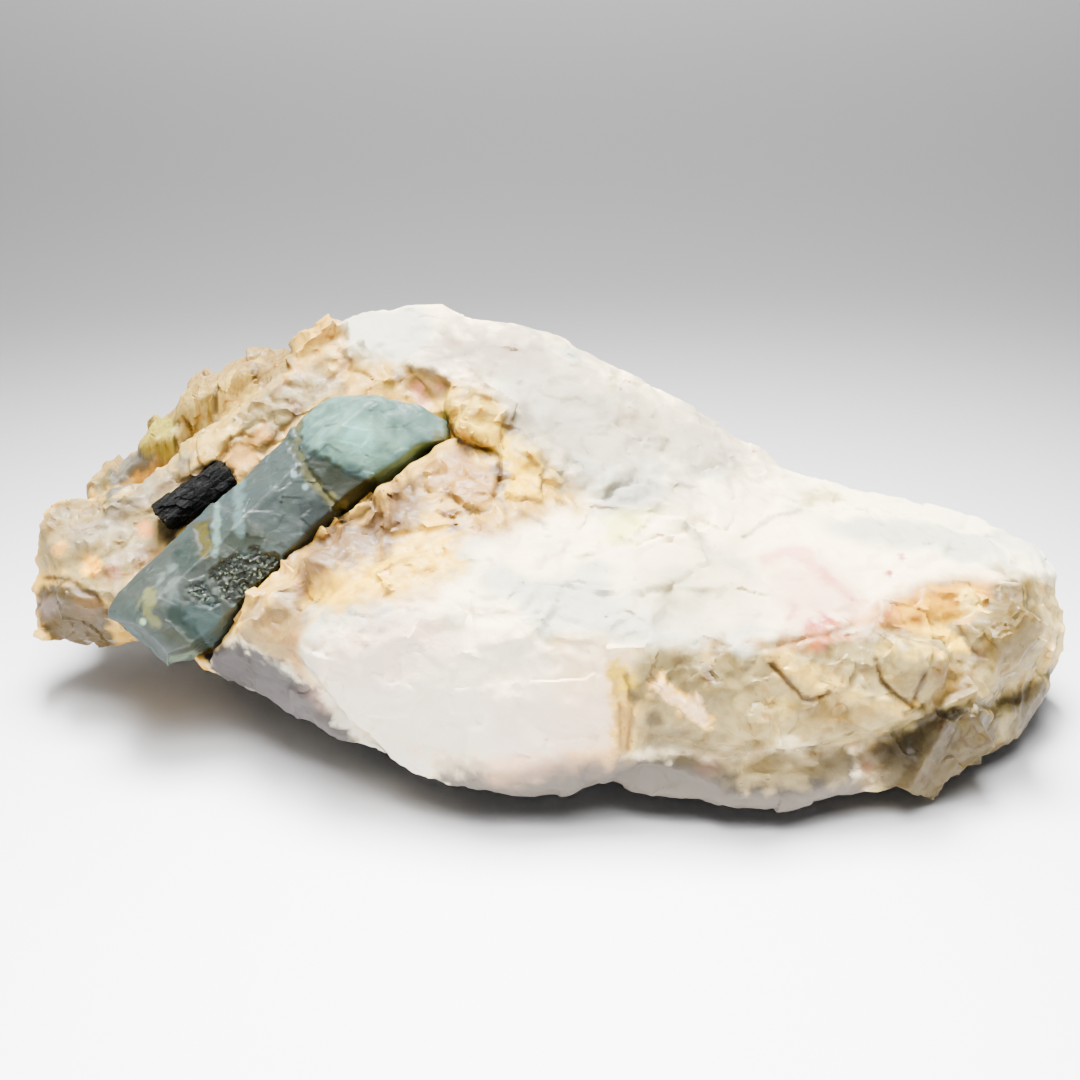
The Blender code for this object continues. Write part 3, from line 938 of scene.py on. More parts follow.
ROCK_COLOURS = (
    # The left end and the slope behind the crystal.
    Patch((210, 196, 165), ((70, 505), (132, 485), (174, 463), (204, 432), (258, 394), (288, 375),
          (326, 362), (345, 387), (296, 425), (235, 487), (190, 525), (112, 605), (75, 590),
          (36, 560), (40, 520)), edge=2.0),
    Patch((203, 184, 148), ((36, 524), (43, 511), (56, 502), (79, 498), (100, 498), (96, 512),
          (60, 530), (40, 540))),
    Patch((203, 194, 179), ((66, 530), (100, 516), (140, 488), (170, 462), (206, 436), (214, 444),
          (180, 474), (146, 500), (110, 530), (76, 542)), edge=1.4, strength=0.8),
    Patch((213, 202, 178), ((232, 408), (262, 384), (280, 372), (286, 384), (262, 402), (240, 418)),
          edge=1.2, strength=0.7),
    Patch((230, 216, 182), ((196, 440), (228, 416), (240, 424), (230, 448), (206, 466), (192, 460)),
          edge=0.7),
    Patch((230, 208, 168), ((230, 444), (262, 424), (274, 436), (256, 462), (238, 476), (228, 466)),
          edge=0.7),
    Patch((152, 128, 86), ((34, 586), (56, 589), (70, 585), (81, 594), (95, 596), (112, 612),
          (118, 650), (65, 655), (36, 620)), edge=1.0, through=True),
    Spot((178, 146, 104), (88, 606), 3.6, 0.8),
    Spot((190, 176, 168), (48, 606), 3.0, 0.7),
    Spot((244, 226, 180), (91, 565), 2.4, 0.8),
    Spot((240, 222, 190), (59, 549), 2.0, 0.7),
    Spot((240, 214, 182), (145, 529), 2.0, 0.8),
    Spot((214, 170, 136), (113, 573), 2.4, 0.7),
    Spot((196, 158, 128), (148, 556), 3.0, 0.6),
    Spot(BROWN, (121, 536), 1.2, 0.8),
    Spot(DARK_BROWN, (171, 539), 1.7, 0.85),
    Seam(BROWN, ((45, 577), (70, 580), (81, 590), (95, 594), (101, 605), (110, 614)), 0.8, 0.7,
         0.7),
    Seam(BROWN, ((150, 500), (165, 487), (190, 474), (212, 464), (233, 470)), 1.1, 0.4, 0.7),
    Spot((120, 80, 44), (214, 469), 2.0, 0.8),
    Seam(BROWN, ((219, 466), (226, 452), (232, 438)), 0.8, 0.7, 0.8),
    Seam(BROWN, ((262, 452), (282, 428), (300, 412)), 0.9, 0.6, 0.7),
    Seam((190, 140, 90), ((270, 396), (286, 384), (302, 388)), 0.8, 0.5, 0.6),
    Seam((180, 130, 80), ((288, 402), (300, 404), (292, 416)), 0.8, 0.6, 0.7),
    Seam((196, 150, 100), ((330, 380), (338, 372), (350, 361)), 0.7, 0.4, 0.6),
    Spot((214, 176, 126), (346, 362), 2.0, 0.6),
    # The upright blades behind the crest.
    Patch((176, 171, 161), ((94, 500), (97, 481), (109, 470), (124, 454), (143, 450), (161, 458),
          (134, 477), (124, 495), (109, 501)), edge=0.5),
    Patch((186, 170, 130), ((94, 500), (97, 479), (108, 476), (109, 501)), edge=0.5),
    Patch((213, 202, 149), ((143, 452), (143, 430), (158, 419), (177, 417), (177, 450), (160, 460)),
          edge=0.5),
    Patch((220, 206, 169), ((177, 450), (177, 408), (186, 392), (200, 385), (218, 388), (219, 418)),
          edge=0.5),
    Patch((226, 210, 170), ((219, 420), (217, 380), (240, 370), (258, 362), (261, 392), (240, 410)),
          edge=0.5),
    Seam((120, 96, 40), ((175, 422), (175, 452)), 0.5, 0.5, 0.8),
    Seam((140, 108, 50), ((216, 386), (216, 412)), 0.7, 0.5, 0.8),
    Seam((170, 134, 74), ((256, 364), (254, 380)), 0.8, 0.4, 0.8),
    Seam((210, 184, 110), ((208, 388), (208, 424)), 0.5, 0.3, 0.6),
    # The bowl round the crystal's upper end.
    Patch(YELLOW_CREAM, ((308, 612), (298, 590), (330, 572), (376, 548), (412, 519), (448, 520),
          (465, 560), (451, 582), (405, 592), (350, 601)), edge=2.5, ragged=2.0),
    Patch((202, 175, 140), ((291, 560), (332, 525), (374, 505), (408, 482), (425, 470), (424, 500),
          (410, 530), (376, 556), (330, 572), (300, 590), (290, 580)), edge=2.2, ragged=1.8),
    # Painted shade: dark lines down the grooves of the bank's folds.
    Seam((172, 138, 106), ((372, 500), (378, 520), (374, 540)), 1.2, 0.7, 0.7),
    Seam((176, 142, 110), ((396, 486), (400, 506), (396, 524)), 1.2, 0.7, 0.7),
    Seam((180, 148, 112), ((412, 490), (410, 512)), 1.0, 0.5, 0.6),
    Patch((212, 192, 157), ((240, 612), (262, 602), (294, 580), (306, 600), (300, 640), (284, 660),
          (262, 652), (238, 638)), edge=1.5),
    Patch((220, 197, 154), ((398, 364), (436, 371), (450, 385), (446, 398), (432, 404), (408, 398),
          (396, 384)), edge=1.0),
    Patch((236, 223, 180), ((446, 395), (456, 380), (485, 391), (504, 410), (502, 437), (501, 455),
          (475, 446), (461, 441), (452, 427), (445, 415)), edge=0.6),
    Patch((226, 200, 155), ((427, 466), (465, 444), (499, 475), (497, 497), (475, 511), (456, 500),
          (429, 487)), edge=0.8),
    Patch((241, 229, 184), ((502, 437), (521, 434), (541, 451), (553, 461), (577, 508), (553, 500),
          (538, 497), (507, 497), (498, 466)), edge=0.6),
    Patch((208, 193, 178), ((470, 449), (478, 448), (499, 468), (500, 476), (490, 472)), edge=0.6),
    Patch((207, 188, 166), ((499, 467), (512, 462), (511, 480), (500, 488)), edge=0.8),
    Spot((150, 120, 84), (511, 424), 2.8, 0.75),
    Spot((190, 164, 130), (522, 428), 3.6, 0.6),
    Patch((198, 144, 56), ((445, 514), (455, 511), (463, 518), (462, 532), (450, 533)), edge=0.5),
    Patch((229, 191, 95), ((465, 516), (495, 514), (494, 534), (470, 536)), edge=1.0, strength=0.7),
    Spot((236, 204, 184), (418, 388), 1.6, 0.8),
    Spot((232, 196, 172), (422, 402), 1.6, 0.8),
    Spot((240, 208, 190), (440, 388), 1.2, 0.8),
    Seam(BROWN, ((445, 412), (453, 429), (461, 441)), 0.8, 0.8, 0.85),
    Seam(BROWN, ((471, 438), (484, 446), (499, 456), (500, 476), (494, 494)), 0.8, 0.6, 0.7),
    Seam((186, 140, 86), ((448, 402), (462, 396), (480, 392)), 0.6, 0.3, 0.5),
    Seam((196, 140, 70), ((541, 458), (548, 468), (542, 475), (541, 492)), 0.6, 0.4, 0.75),
    Seam((190, 150, 104), ((514, 449), (538, 466)), 0.6, 0.3, 0.6),
    Seam(BROWN, ((446, 492), (456, 500), (466, 509), (480, 512), (492, 508)), 0.7, 0.7, 0.75),
    Seam(BROWN, ((502, 437), (498, 466), (500, 480)), 0.6, 0.5, 0.6),
    Seam(DARK_BROWN, ((494, 496), (502, 502), (506, 512)), 0.7, 0.5, 0.6),
    Seam((160, 128, 70), ((520, 512), (536, 520), (546, 528)), 0.9, 0.4, 0.55),
    Seam(DARK_BROWN, ((342, 516), (347, 527)), 0.9, 0.7, 0.85),
    Seam((170, 130, 92), ((330, 534), (346, 528), (360, 516), (376, 506), (410, 484)), 0.7, 0.4,
         0.6),
    Spot((196, 150, 110), (303, 590), 2.0, 0.75),
    Seam((214, 176, 138), ((304, 618), (290, 645), (300, 674)), 1.6, 0.3, 0.5),
    # The quartz.
    # Painted shade: the top of the quartz, which leans back from the lamps, in a duller white.
    Patch((222, 216, 206), ((424, 362), (430, 338), (480, 318), (560, 326), (620, 358), (700, 398),
          (790, 446), (760, 478), (690, 476), (640, 474), (600, 490), (570, 480), (545, 448),
          (516, 404), (484, 388)), edge=5.0, ragged=4.0, strength=0.75),
    # Painted shade: the lower-left quartz face, which turns downwards, in dark grey.
    Patch((140, 133, 130), ((205, 655), (238, 641), (258, 652), (275, 664), (318, 692), (325, 711),
          (350, 731), (372, 733), (335, 752), (224, 690)), edge=0.8, through=True),
    # Painted shade: a grey band over the lower front of the quartz.
    Patch((192, 180, 171), ((398, 738), (440, 750), (480, 754), (560, 750), (612, 738), (625, 752),
          (612, 785), (560, 796), (480, 796), (430, 782)), edge=2.2, strength=0.85),
    # Painted shade: the underside strip along the front foot, in dark grey.
    Patch((144, 135, 125), ((440, 774), (520, 770), (560, 757), (600, 749), (640, 757), (693, 759),
          (759, 750), (855, 748), (868, 800), (800, 830), (440, 830)), edge=1.2, through=True),
    Patch((246, 237, 212), ((560, 648), (626, 654), (622, 740), (590, 742), (562, 715)), edge=5.0,
          strength=0.8),
    Patch((240, 230, 220), ((480, 690), (600, 700), (606, 745), (500, 765)), edge=6.0,
          strength=0.6),
    Patch((240, 230, 224), ((320, 640), (420, 600), (450, 640), (400, 700), (330, 690)), edge=6.0,
          strength=0.5),
    Patch((238, 235, 213), ((606, 520), (625, 510), (650, 512), (646, 530), (630, 543), (608, 540)),
          edge=1.0, strength=0.8),
    Patch((229, 224, 205), ((797, 492), (830, 489), (841, 497), (830, 504), (805, 503)), edge=0.8,
          strength=0.9),
    Patch((212, 211, 205), ((604, 509), (612, 486), (635, 478), (690, 470), (700, 500), (660, 506)),
          edge=3.0, strength=0.8),
    # Painted shade: grey beside the pale plate's right edge.
    Patch((199, 193, 186), ((686, 523), (700, 530), (714, 545), (712, 562), (704, 550)), edge=1.2,
          strength=0.8),
    Patch((231, 226, 214), ((640, 560), (740, 540), (760, 620), (690, 640), (640, 610)), edge=7.0,
          strength=0.7),
    # Painted shade: grey in the shallow hollow right of the cream feldspar.
    Patch((206, 201, 188), ((516, 430), (560, 410), (590, 470), (560, 500), (530, 450)), edge=5.0,
          strength=0.7),
    # Painted shade: grey-brown bands of shade on the quartz.
    Patch((206, 197, 183), ((577, 402), (600, 400), (640, 412), (660, 440), (610, 424)), edge=3.0,
          strength=0.8),
    Patch((215, 203, 193), ((440, 330), (540, 340), (545, 372), (480, 366), (430, 352)), edge=3.0,
          strength=0.8),
    Patch((205, 197, 186), ((516, 407), (526, 404), (538, 416), (532, 428), (520, 424)), edge=1.5,
          strength=0.8),
    Patch((218, 213, 184), ((604, 373), (614, 374), (620, 384), (610, 388)), edge=0.8,
          strength=0.8),
    Patch((224, 225, 221), ((546, 344), (566, 346), (583, 362), (570, 366), (552, 354)), edge=0.8,
          strength=0.8),
    Seam((206, 198, 194), ((424, 362), (446, 358), (470, 352), (486, 340)), 0.7, 0.0, 0.6),
    Spot((140, 130, 122), (520, 381), 0.8, 0.7),
    Spot((150, 140, 130), (744, 537), 0.7, 0.8),
    Seam((196, 190, 180), ((744, 537), (757, 528), (770, 517), (800, 510)), 0.8, 0.5, 0.6),
    Seam((200, 194, 188), ((604, 500), (612, 488), (630, 481)), 0.8, 0.5, 0.7),
    Spot((60, 56, 54), (477, 335), 0.6, 0.9),
    Seam((246, 200, 196), ((765, 560), (784, 552), (806, 555), (816, 568), (826, 576)), 2.0, 0.0,
         0.6),
    Seam((246, 186, 186), ((824, 570), (842, 592), (856, 602)), 1.3, 0.0, 0.6),
    Seam((246, 184, 188), ((789, 603), (796, 606), (790, 618)), 1.0, 0.0, 0.65),
    Patch((235, 212, 204), ((770, 560), (830, 560), (870, 600), (860, 625), (790, 630), (770, 600)),
          edge=4.0, strength=0.6),
    Patch((246, 134, 140), ((810, 622), (826, 618), (843, 628), (838, 638), (822, 642), (814, 632)),
          edge=1.2, ragged=2.2, strength=0.85),
    Spot((236, 140, 140), (889, 573), 0.9, 0.9),
    Spot((238, 160, 160), (902, 558), 0.9, 0.9),
    # The right end.
    Patch((232, 192, 125), ((700, 642), (760, 645), (810, 634), (852, 622), (846, 634), (790, 650)),
          edge=1.6, strength=0.7),
    Patch((237, 208, 161), ((862, 612), (900, 590), (950, 580), (1000, 578), (985, 610), (940, 622),
          (900, 628), (860, 626)), edge=2.5, strength=0.85),
    Patch((240, 222, 160), ((900, 606), (950, 584), (985, 590), (960, 622), (915, 632)), edge=2.0,
          strength=0.7),
    Spot((214, 160, 100), (916, 618), 2.4, 0.7),
    Spot((226, 180, 130), (946, 600), 3.0, 0.6),
    # Partly the stone's darker tan and partly painted shade on the right end's face.
    Patch((186, 163, 112), ((986, 606), (1000, 581), (1030, 579), (1046, 590), (1046, 640),
          (1040, 658), (1000, 672), (985, 650)), edge=1.6),
    Patch((226, 216, 194), ((1036, 590), (1060, 590), (1066, 660), (1046, 676), (1040, 640)),
          edge=1.6, strength=0.8),
    Patch((208, 192, 153), ((999, 668), (1046, 650), (1062, 664), (1040, 684), (1004, 690)),
          edge=1.2, strength=0.8),
    # Partly the lower block's olive-brown and partly painted shade, which also covers its hidden
    # sides.
    Patch((126, 106, 68), ((879, 740), (912, 722), (927, 707), (975, 704), (1005, 690), (1056, 668),
          (1070, 760), (900, 810), (872, 775)), edge=1.5, through=True),
    Patch((138, 117, 70), ((954, 716), (980, 708), (993, 720), (986, 750), (962, 756)), edge=2.0,
          strength=0.8),
    Patch((188, 172, 130), ((992, 704), (1012, 694), (1014, 740), (996, 744)), edge=1.5,
          strength=0.8),
    Patch((181, 161, 117), ((632, 660), (680, 655), (720, 665), (740, 700), (700, 720), (655, 700),
          (636, 700)), edge=3.0, strength=0.8),
    Patch((244, 231, 198), ((651, 684), (662, 676), (690, 700), (714, 722), (704, 729), (672, 708)),
          edge=0.7),
    Patch((235, 226, 205), ((693, 650), (706, 646), (712, 660), (700, 666)), edge=0.7,
          strength=0.9),
    Patch((200, 171, 92), ((714, 644), (734, 641), (738, 658), (718, 662)), edge=1.5, strength=0.8),
    Patch((234, 220, 183), ((760, 654), (790, 652), (830, 680), (870, 700), (918, 708), (905, 716),
          (860, 706), (812, 690), (780, 676)), edge=1.6, strength=0.8),
    Patch((230, 219, 187), ((768, 700), (784, 692), (794, 712), (780, 722)), edge=0.8,
          strength=0.8),
    Patch((183, 152, 94), ((792, 706), (820, 700), (856, 712), (850, 728), (810, 726)), edge=1.6,
          strength=0.8),
    Patch((187, 151, 84), ((932, 664), (962, 660), (976, 676), (972, 700), (936, 704), (926, 684)),
          edge=1.5, strength=0.8),
    Patch((233, 222, 190), ((878, 652), (884, 640), (930, 640), (940, 656), (912, 664)), edge=0.6),
    Patch((202, 185, 141), ((888, 676), (912, 664), (934, 660), (925, 680), (916, 694), (896, 690)),
          edge=0.6),
    Patch((240, 232, 206), ((956, 602), (966, 590), (984, 598), (984, 612), (962, 610)), edge=0.5),
    Patch((240, 228, 188), ((926, 628), (946, 622), (968, 650), (952, 654), (934, 642)), edge=0.6),
    Spot((160, 116, 76), (978, 656), 2.2, 0.7),
    Seam(BROWN, ((960, 628), (968, 644), (978, 656)), 0.7, 0.4, 0.6),
    Seam(BROWN, ((771, 662), (783, 676), (795, 689), (803, 698), (812, 700), (828, 692)), 0.8, 0.8,
         0.85),
    Seam(BROWN, ((876, 658), (882, 682), (896, 694), (912, 706), (918, 690), (926, 672)), 0.7, 0.6,
         0.8),
    Seam((176, 130, 80), ((780, 645), (810, 636), (830, 634), (852, 624)), 0.9, 0.4, 0.6),
    Seam(DARK_BROWN, ((905, 712), (922, 706)), 1.0, 0.6, 0.8),
    Patch((198, 167, 104), ((608, 668), (618, 664), (626, 700), (630, 752), (614, 752)), edge=1.2,
          strength=0.8),
    Patch((234, 221, 167), ((616, 664), (626, 660), (634, 690), (630, 700), (620, 690)), edge=0.8,
          strength=0.8),
    Seam((170, 130, 80), ((626, 676), (633, 700), (628, 748)), 0.9, 0.8, 0.7),
    Seam((176, 138, 84), ((619, 700), (621, 750)), 0.5, 0.3, 0.6),
    Spot((130, 100, 62), (654, 720), 2.2, 0.8),
    # Painted shade: a dark olive spot in a recess.
    Spot((150, 130, 94), (636, 692), 2.6, 0.6),
    Spot((206, 176, 156), (706, 764), 3.4, 0.4),
    Patch((206, 193, 166), ((759, 752), (800, 744), (850, 748), (846, 780), (790, 776)), edge=2.0,
          strength=0.7, through=True),
    # Painted light: a pale patch that lifts the shade which the overhang casts on this recessed
    # strip.
    Patch((230, 222, 204), ((722, 760), (790, 757), (812, 768), (806, 782), (740, 784), (722, 774)),
          edge=2.5, strength=0.9, through=True),
    Patch((168, 146, 112), ((846, 746), (872, 744), (880, 760), (880, 784), (862, 786), (850, 768)),
          edge=1.5, strength=0.8),
    Patch((170, 150, 114), ((636, 730), (680, 728), (724, 742), (730, 757), (690, 760), (640, 754)),
          edge=2.0, strength=0.8),
    Spot((170, 116, 76), (867, 766), 1.6, 0.8),
    Seam((190, 150, 110), ((858, 744), (864, 760), (868, 784)), 0.9, 0.3, 0.5),
)

ROCK_FLAKES = (
    Flake(((606, 520), (625, 508), (650, 510), (648, 530), (630, 545), (608, 542)), 0.7, 0.4),
    Flake(((560, 578), (600, 560), (625, 545), (650, 512), (680, 520), (694, 530), (708, 562),
          (660, 590), (600, 596)), 0.9, 0.4),
    Flake(((560, 550), (566, 536), (598, 533), (601, 550), (580, 556)), 0.5, 0.3),
    Flake(((601, 480), (604, 466), (630, 464), (638, 472), (620, 480), (606, 492)), 0.7, 0.4),
    Flake(((604, 501), (612, 486), (635, 478), (660, 484), (660, 498), (640, 506)), -0.9, 0.6),
    Flake(((645, 444), (652, 437), (667, 440), (662, 447)), 0.5, 0.3),
    Flake(((645, 472), (650, 465), (657, 468), (652, 474)), 0.4, 0.3),
    Flake(((755, 540), (770, 520), (800, 510), (860, 506), (900, 540), (860, 570), (800, 560)), 0.6,
          0.7),
    Flake(((797, 492), (830, 489), (841, 497), (830, 504), (805, 503)), 0.6, 0.3),
    Flake(((546, 344), (566, 346), (583, 362), (570, 366), (552, 354)), 0.5, 0.3),
    Flake(((330, 640), (400, 606), (470, 600), (510, 640), (470, 690), (380, 700)), 0.4, 1.2),
    Flake(((470, 600), (540, 588), (560, 600), (530, 640), (480, 650)), 0.5, 0.5),
    Flake(((651, 684), (662, 676), (690, 700), (714, 722), (704, 729), (672, 708)), 0.9, 0.4),
    Flake(((956, 602), (966, 590), (984, 598), (984, 612), (962, 610)), 0.7, 0.4),
    Flake(((876, 664), (900, 642), (931, 644), (930, 668), (914, 700), (890, 690)), 0.7, 0.4),
    Flake(((760, 654), (790, 652), (830, 680), (918, 708), (905, 716), (812, 692)), 0.6, 0.5),
    Flake(((446, 395), (456, 380), (485, 391), (504, 410), (501, 455), (461, 441), (445, 415)), 1.1,
          0.6),
    Flake(((427, 466), (465, 444), (499, 475), (497, 497), (475, 511), (456, 500), (429, 487)), 0.8,
          0.5),
    Flake(((502, 437), (521, 434), (541, 451), (577, 508), (538, 497), (507, 497), (498, 466)), 0.7,
          0.5),
    Flake(((398, 364), (436, 371), (450, 385), (446, 398), (432, 404), (396, 386)), -0.9, 0.6),
    Flake(((560, 545), (520, 560), (470, 575), (460, 590), (420, 620), (500, 640), (560, 610)), 0.4,
          0.8),
    Flake(((196, 440), (228, 416), (240, 424), (230, 448), (206, 466), (192, 460)), 0.6, 0.4),
    Flake(((230, 444), (262, 424), (274, 436), (256, 462), (238, 476), (228, 466)), 0.7, 0.4),
)


ROCK_NUDGES = (
    Nudge((884, 809), (884, 793), 10.0),
    Nudge((900, 800), (896, 792), 10.0),
    Nudge((446, 458), (440, 451), 11.0),
    Nudge((420, 476), (414, 469), 12.0),
    Nudge((388, 500), (381, 493), 13.0),
    Nudge((352, 536), (346, 528), 13.0),
    Nudge((316, 568), (309, 561), 13.0),
    Nudge((280, 604), (273, 597), 13.0),
    Nudge((250, 636), (244, 630), 12.0),
)


@dataclass(frozen=True)
class RockFinish:
    """How the rock's surface looks close up."""

    cloud: float = 9.0
    grain: float = 1.1
    seam: float = 13.0
    roughness: float = 0.52
    rust_tint: Colour = (0.62, 0.42, 0.24)
    mottle_tint: Colour = (0.84, 0.76, 0.62)
    pale_tint: Colour = (1.08, 1.12, 1.12)
    speck_tint: Colour = (0.6, 0.5, 0.38)
    # Tints for crevices: in feldspar partly brown stain and partly painted shade, in quartz painted
    # shade.
    feldspar_crevice_stain_and_shade: Colour = (0.68, 0.58, 0.44)
    quartz_crevice_shade: Colour = (0.86, 0.85, 0.84)

    def material(self) -> bpy.types.Material:
        """Milky quartz and cream feldspar with rusty seams, from the colours in the mesh, with
        painted shade in the crevices.
        """
        graph = Graph("rock")
        tint = graph.attribute("tint", colour=True)
        feldspar = graph.attribute("feldspar")
        crevice = graph.attribute("crevice")
        golden = graph.attribute("golden")
        quartz = 1.0 - feldspar
        cloud = graph.noise(self.cloud, 4.0)
        fine = graph.noise(0.5, 3.0)
        warped = graph.warped(2.5, 1.6)
        facet = graph.grains(self.grain, "F1", "Color", warped)
        facet_level = self.level(graph, facet)
        vein = graph.noise(self.seam, 3.0, graph.warped(6.0, 6.0))
        rust = vein.ramp(0.475, 0.5) * (1.0 - vein.ramp(0.5, 0.525))
        rust = rust * feldspar * graph.noise(9.0, 2.0).ramp(0.5, 0.62)
        frost = graph.noise(3.2, 3.0).ramp(0.5, 0.72)
        streak = graph.noise(0.5, 3.0, graph.stretched((0.0, 0.0, 0.0), (1.0, 1.0, 18.0)))
        value = 0.86 + cloud * 0.2 + fine * 0.06 + (facet_level - 0.5) * feldspar * 0.12
        value = value + frost * quartz * 0.03 - golden * streak.ramp(0.46, 0.66) * 0.28
        colour = graph.brightened(tint, value)
        colour = graph.tinted(colour, rust * 0.8, self.rust_tint)
        mottle = graph.noise(2.6, 6.0, graph.warped(5.0, 3.0))
        colour = graph.tinted(colour, mottle.ramp(0.5, 0.66) * feldspar, self.mottle_tint)
        pale = 1.0 - mottle.ramp(0.34, 0.46)
        colour = graph.tinted(colour, pale * feldspar, self.pale_tint)
        specks = 1.0 - graph.grains(1.5, "F1", "Distance", warped).ramp(0.1, 0.2)
        specks = specks * graph.noise(9.0, 2.0).ramp(0.5, 0.62)
        colour = graph.tinted(colour, specks * (feldspar * 0.75 + 0.15), self.speck_tint)
        # Painted shade: the deeper a crevice, the darker it is; in feldspar the tint is browner, as
        # its cracks are stained.
        deep = crevice.ramp(0.12, 0.75)
        colour = graph.tinted(colour, deep * feldspar * 0.7, self.feldspar_crevice_stain_and_shade)
        colour = graph.tinted(colour, deep * quartz, self.quartz_crevice_shade)
        roughness = self.roughness + fine * 0.12 - facet_level * feldspar * 0.18
        relief = fine * 0.35 + facet_level * feldspar * 0.5 + frost * quartz * fine * 0.5
        relief = relief + streak * golden * 0.8 + graph.noise(1.6, 5.0) * 0.7
        normal = graph.bump(relief, 0.28, 0.5)
        return graph.finish({
            "Base Color": colour,
            "Roughness": roughness,
            "Normal": normal,
            "IOR": 1.53,
            "Specular IOR Level": 0.25,
            "Subsurface Weight": 0.18,
            "Subsurface Radius": (1.0, 0.85, 0.75),
            "Subsurface Scale": 1.6 * MM,
        })

    @staticmethod
    def level(graph: Graph, colour: Socket) -> Socket:
        """One channel of a random colour, as a number."""
        return graph.node("ShaderNodeSeparateColor", {}, {"Color": colour}, 0)


@dataclass
class Rock:
    """The broken lump of quartz and feldspar that the crystals sit in."""

    first_skin: float = 0.7
    skin: float = 0.42
    triangles: int = 194000
    chips: int = 210
    chip_length: tuple[float, float] = (4.5, 12.0)
    chip_rise: tuple[float, float] = (0.05, 0.42)
    chip_flatness: float = 0.95
    chip_lean: float = 0.09
    chip_taper: float = 0.12
    chip_seed: int = 5
    crumbly_columns: tuple[float, float] = (150.0, 200.0)
    massive_columns: tuple[float, float] = (560.0, 640.0)
    crystal_gap: float = 0.12
    crystal_reach: float = 3.6
    blade_back: float = 23.0
    blade_right: float = -49.0
    blade_foot: tuple[float, float] = (20.0, 26.0)
    # The heights over which the painted shade on low undersides fades out, in millimetres.
    painted_shade_heights: tuple[float, float] = (6.0, 14.0)
    finish: RockFinish = field(default_factory=RockFinish)

    def feldspar_share(self, points: Array, pixels: Array) -> Array:
        """Tells the two minerals apart.

        Args:
            points: places on the skin, one row each.
            pixels: the photo's pixel for each.

        Returns:
            1 where the rock is feldspar and 0 where it is quartz.
        """
        wobble = soft_noise(points, 7.0, 41, 3)
        share = np.zeros(len(points))
        for zone in FELDSPAR_ZONES:
            share = np.maximum(share, zone.share(pixels, wobble))
        return share

    def golden_share(self, points: Array) -> Array:
        """Finds the tawny upright blades behind the crest, at the back left.

        Args:
            points: places on the skin, one row each.

        Returns:
            1 on the blades and 0 elsewhere.
        """
        behind = smooth_step(self.blade_back, self.blade_back + 1.5, points[:, 1])
        left = 1.0 - smooth_step(self.blade_right - 1.0, self.blade_right + 1.0, points[:, 0])
        above = smooth_step(*self.blade_foot, points[:, 2])
        return behind * left * above

    def add_chips(self, piece: bpy.types.Object) -> None:
        """Sets small cleavage blocks in the feldspar, in families that lie one way.

        Args:
            piece: the rock's first skin, which takes them up.
        """
        rng = np.random.default_rng(self.chip_seed)
        points = read_points(piece)
        normals = read_normals(piece)
        pixels = VIEW.pixels(points)
        share = self.feldspar_share(points, pixels) * (1.0 - self.golden_share(points))
        share *= (share > 0.5) & (points[:, 2] > 2.5)
        crumbly = 1.0 - smooth_step(*self.crumbly_columns, pixels[:, 0])
        massive = smooth_step(*self.massive_columns, pixels[:, 0])
        likely = share * (1.0 + 1.6 * crumbly - 0.55 * massive)
        chosen = rng.choice(len(points), self.chips, replace=False, p=likely / likely.sum())
        family = fracture_cells(points[chosen], 16.0, 61).random
        bm = bmesh.new()
        for index, vert in enumerate(chosen):
            scale = 1.0 - 0.5 * crumbly[vert] + 0.35 * massive[vert]
            length = rng.uniform(*self.chip_length) * scale
            width = length * rng.uniform(0.4, 0.75)
            size = Vector((length, width, length * rng.uniform(0.25, 0.45)))
            normal = Vector(normals[vert])
            lie = Vector(2.0 * family[index, 1:4] - 1.0) + Vector((0.5, 0.3, 0.2))
            along = (lie - normal * lie.dot(normal) * self.chip_flatness).normalized()
            across = normal.cross(along).normalized()
            turn = Matrix((along, across, along.cross(across))).transposed()
            lean = Matrix.Rotation(rng.normal(0.0, self.chip_lean), 3, "X")
            lean = lean @ Matrix.Rotation(rng.normal(0.0, self.chip_lean), 3, "Y")
            middle = Vector(points[vert]) + normal * (rng.uniform(*self.chip_rise) - size.z / 2.0)
            made = bmesh.ops.create_cube(bm, size=1.0)
            for corner in made["verts"]:
                taper = 1.0 - self.chip_taper * rng.random()
                local = Vector((corner.co.x * size.x, corner.co.y * size.y, corner.co.z * size.z))
                corner.co = (middle + turn @ (lean @ local) * taper) * MM
        bm.from_mesh(piece.data)
        bm.to_mesh(piece.data)
        bm.free()

    def break_up(self, piece: bpy.types.Object, tree: BVHTree) -> None:
        """Breaks the skin as each mineral does, and cuts the grooves and flakes that show.

        Args:
            piece: the rock's fine skin.
            tree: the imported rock's faces, which tell what the photo shows.
        """
        points = read_points(piece)
        normals = read_normals(piece)
        pixels = VIEW.pixels(points)
        feldspar = self.feldspar_share(points, pixels)
        golden = self.golden_share(points)
        shown = VIEW.seen(points, tree)
        wobble = soft_noise(points, 2.4, 9, 2)
        bent = points + 0.9 * self.bend(points)
        blocky = self.feldspar_break(points, bent)
        rise = self.quartz_break(points, bent) * (1.0 - feldspar)
        rise += blocky * feldspar * (1.0 - golden)
        rise += self.blade_break(points) * golden
        for flake in ROCK_FLAKES:
            rise += flake.lift(pixels, wobble) * shown
        for layer in ROCK_COLOURS:
            if isinstance(layer, Seam) and layer.depth > 0.0:
                rise -= layer.depth * layer.share(pixels, wobble) * shown
        rise *= smooth_step(0.2, 2.5, points[:, 2])
        moved = points + normals * rise[:, None]
        moved[:, 2] = np.maximum(moved[:, 2], 0.0)
        write_points(piece, moved)

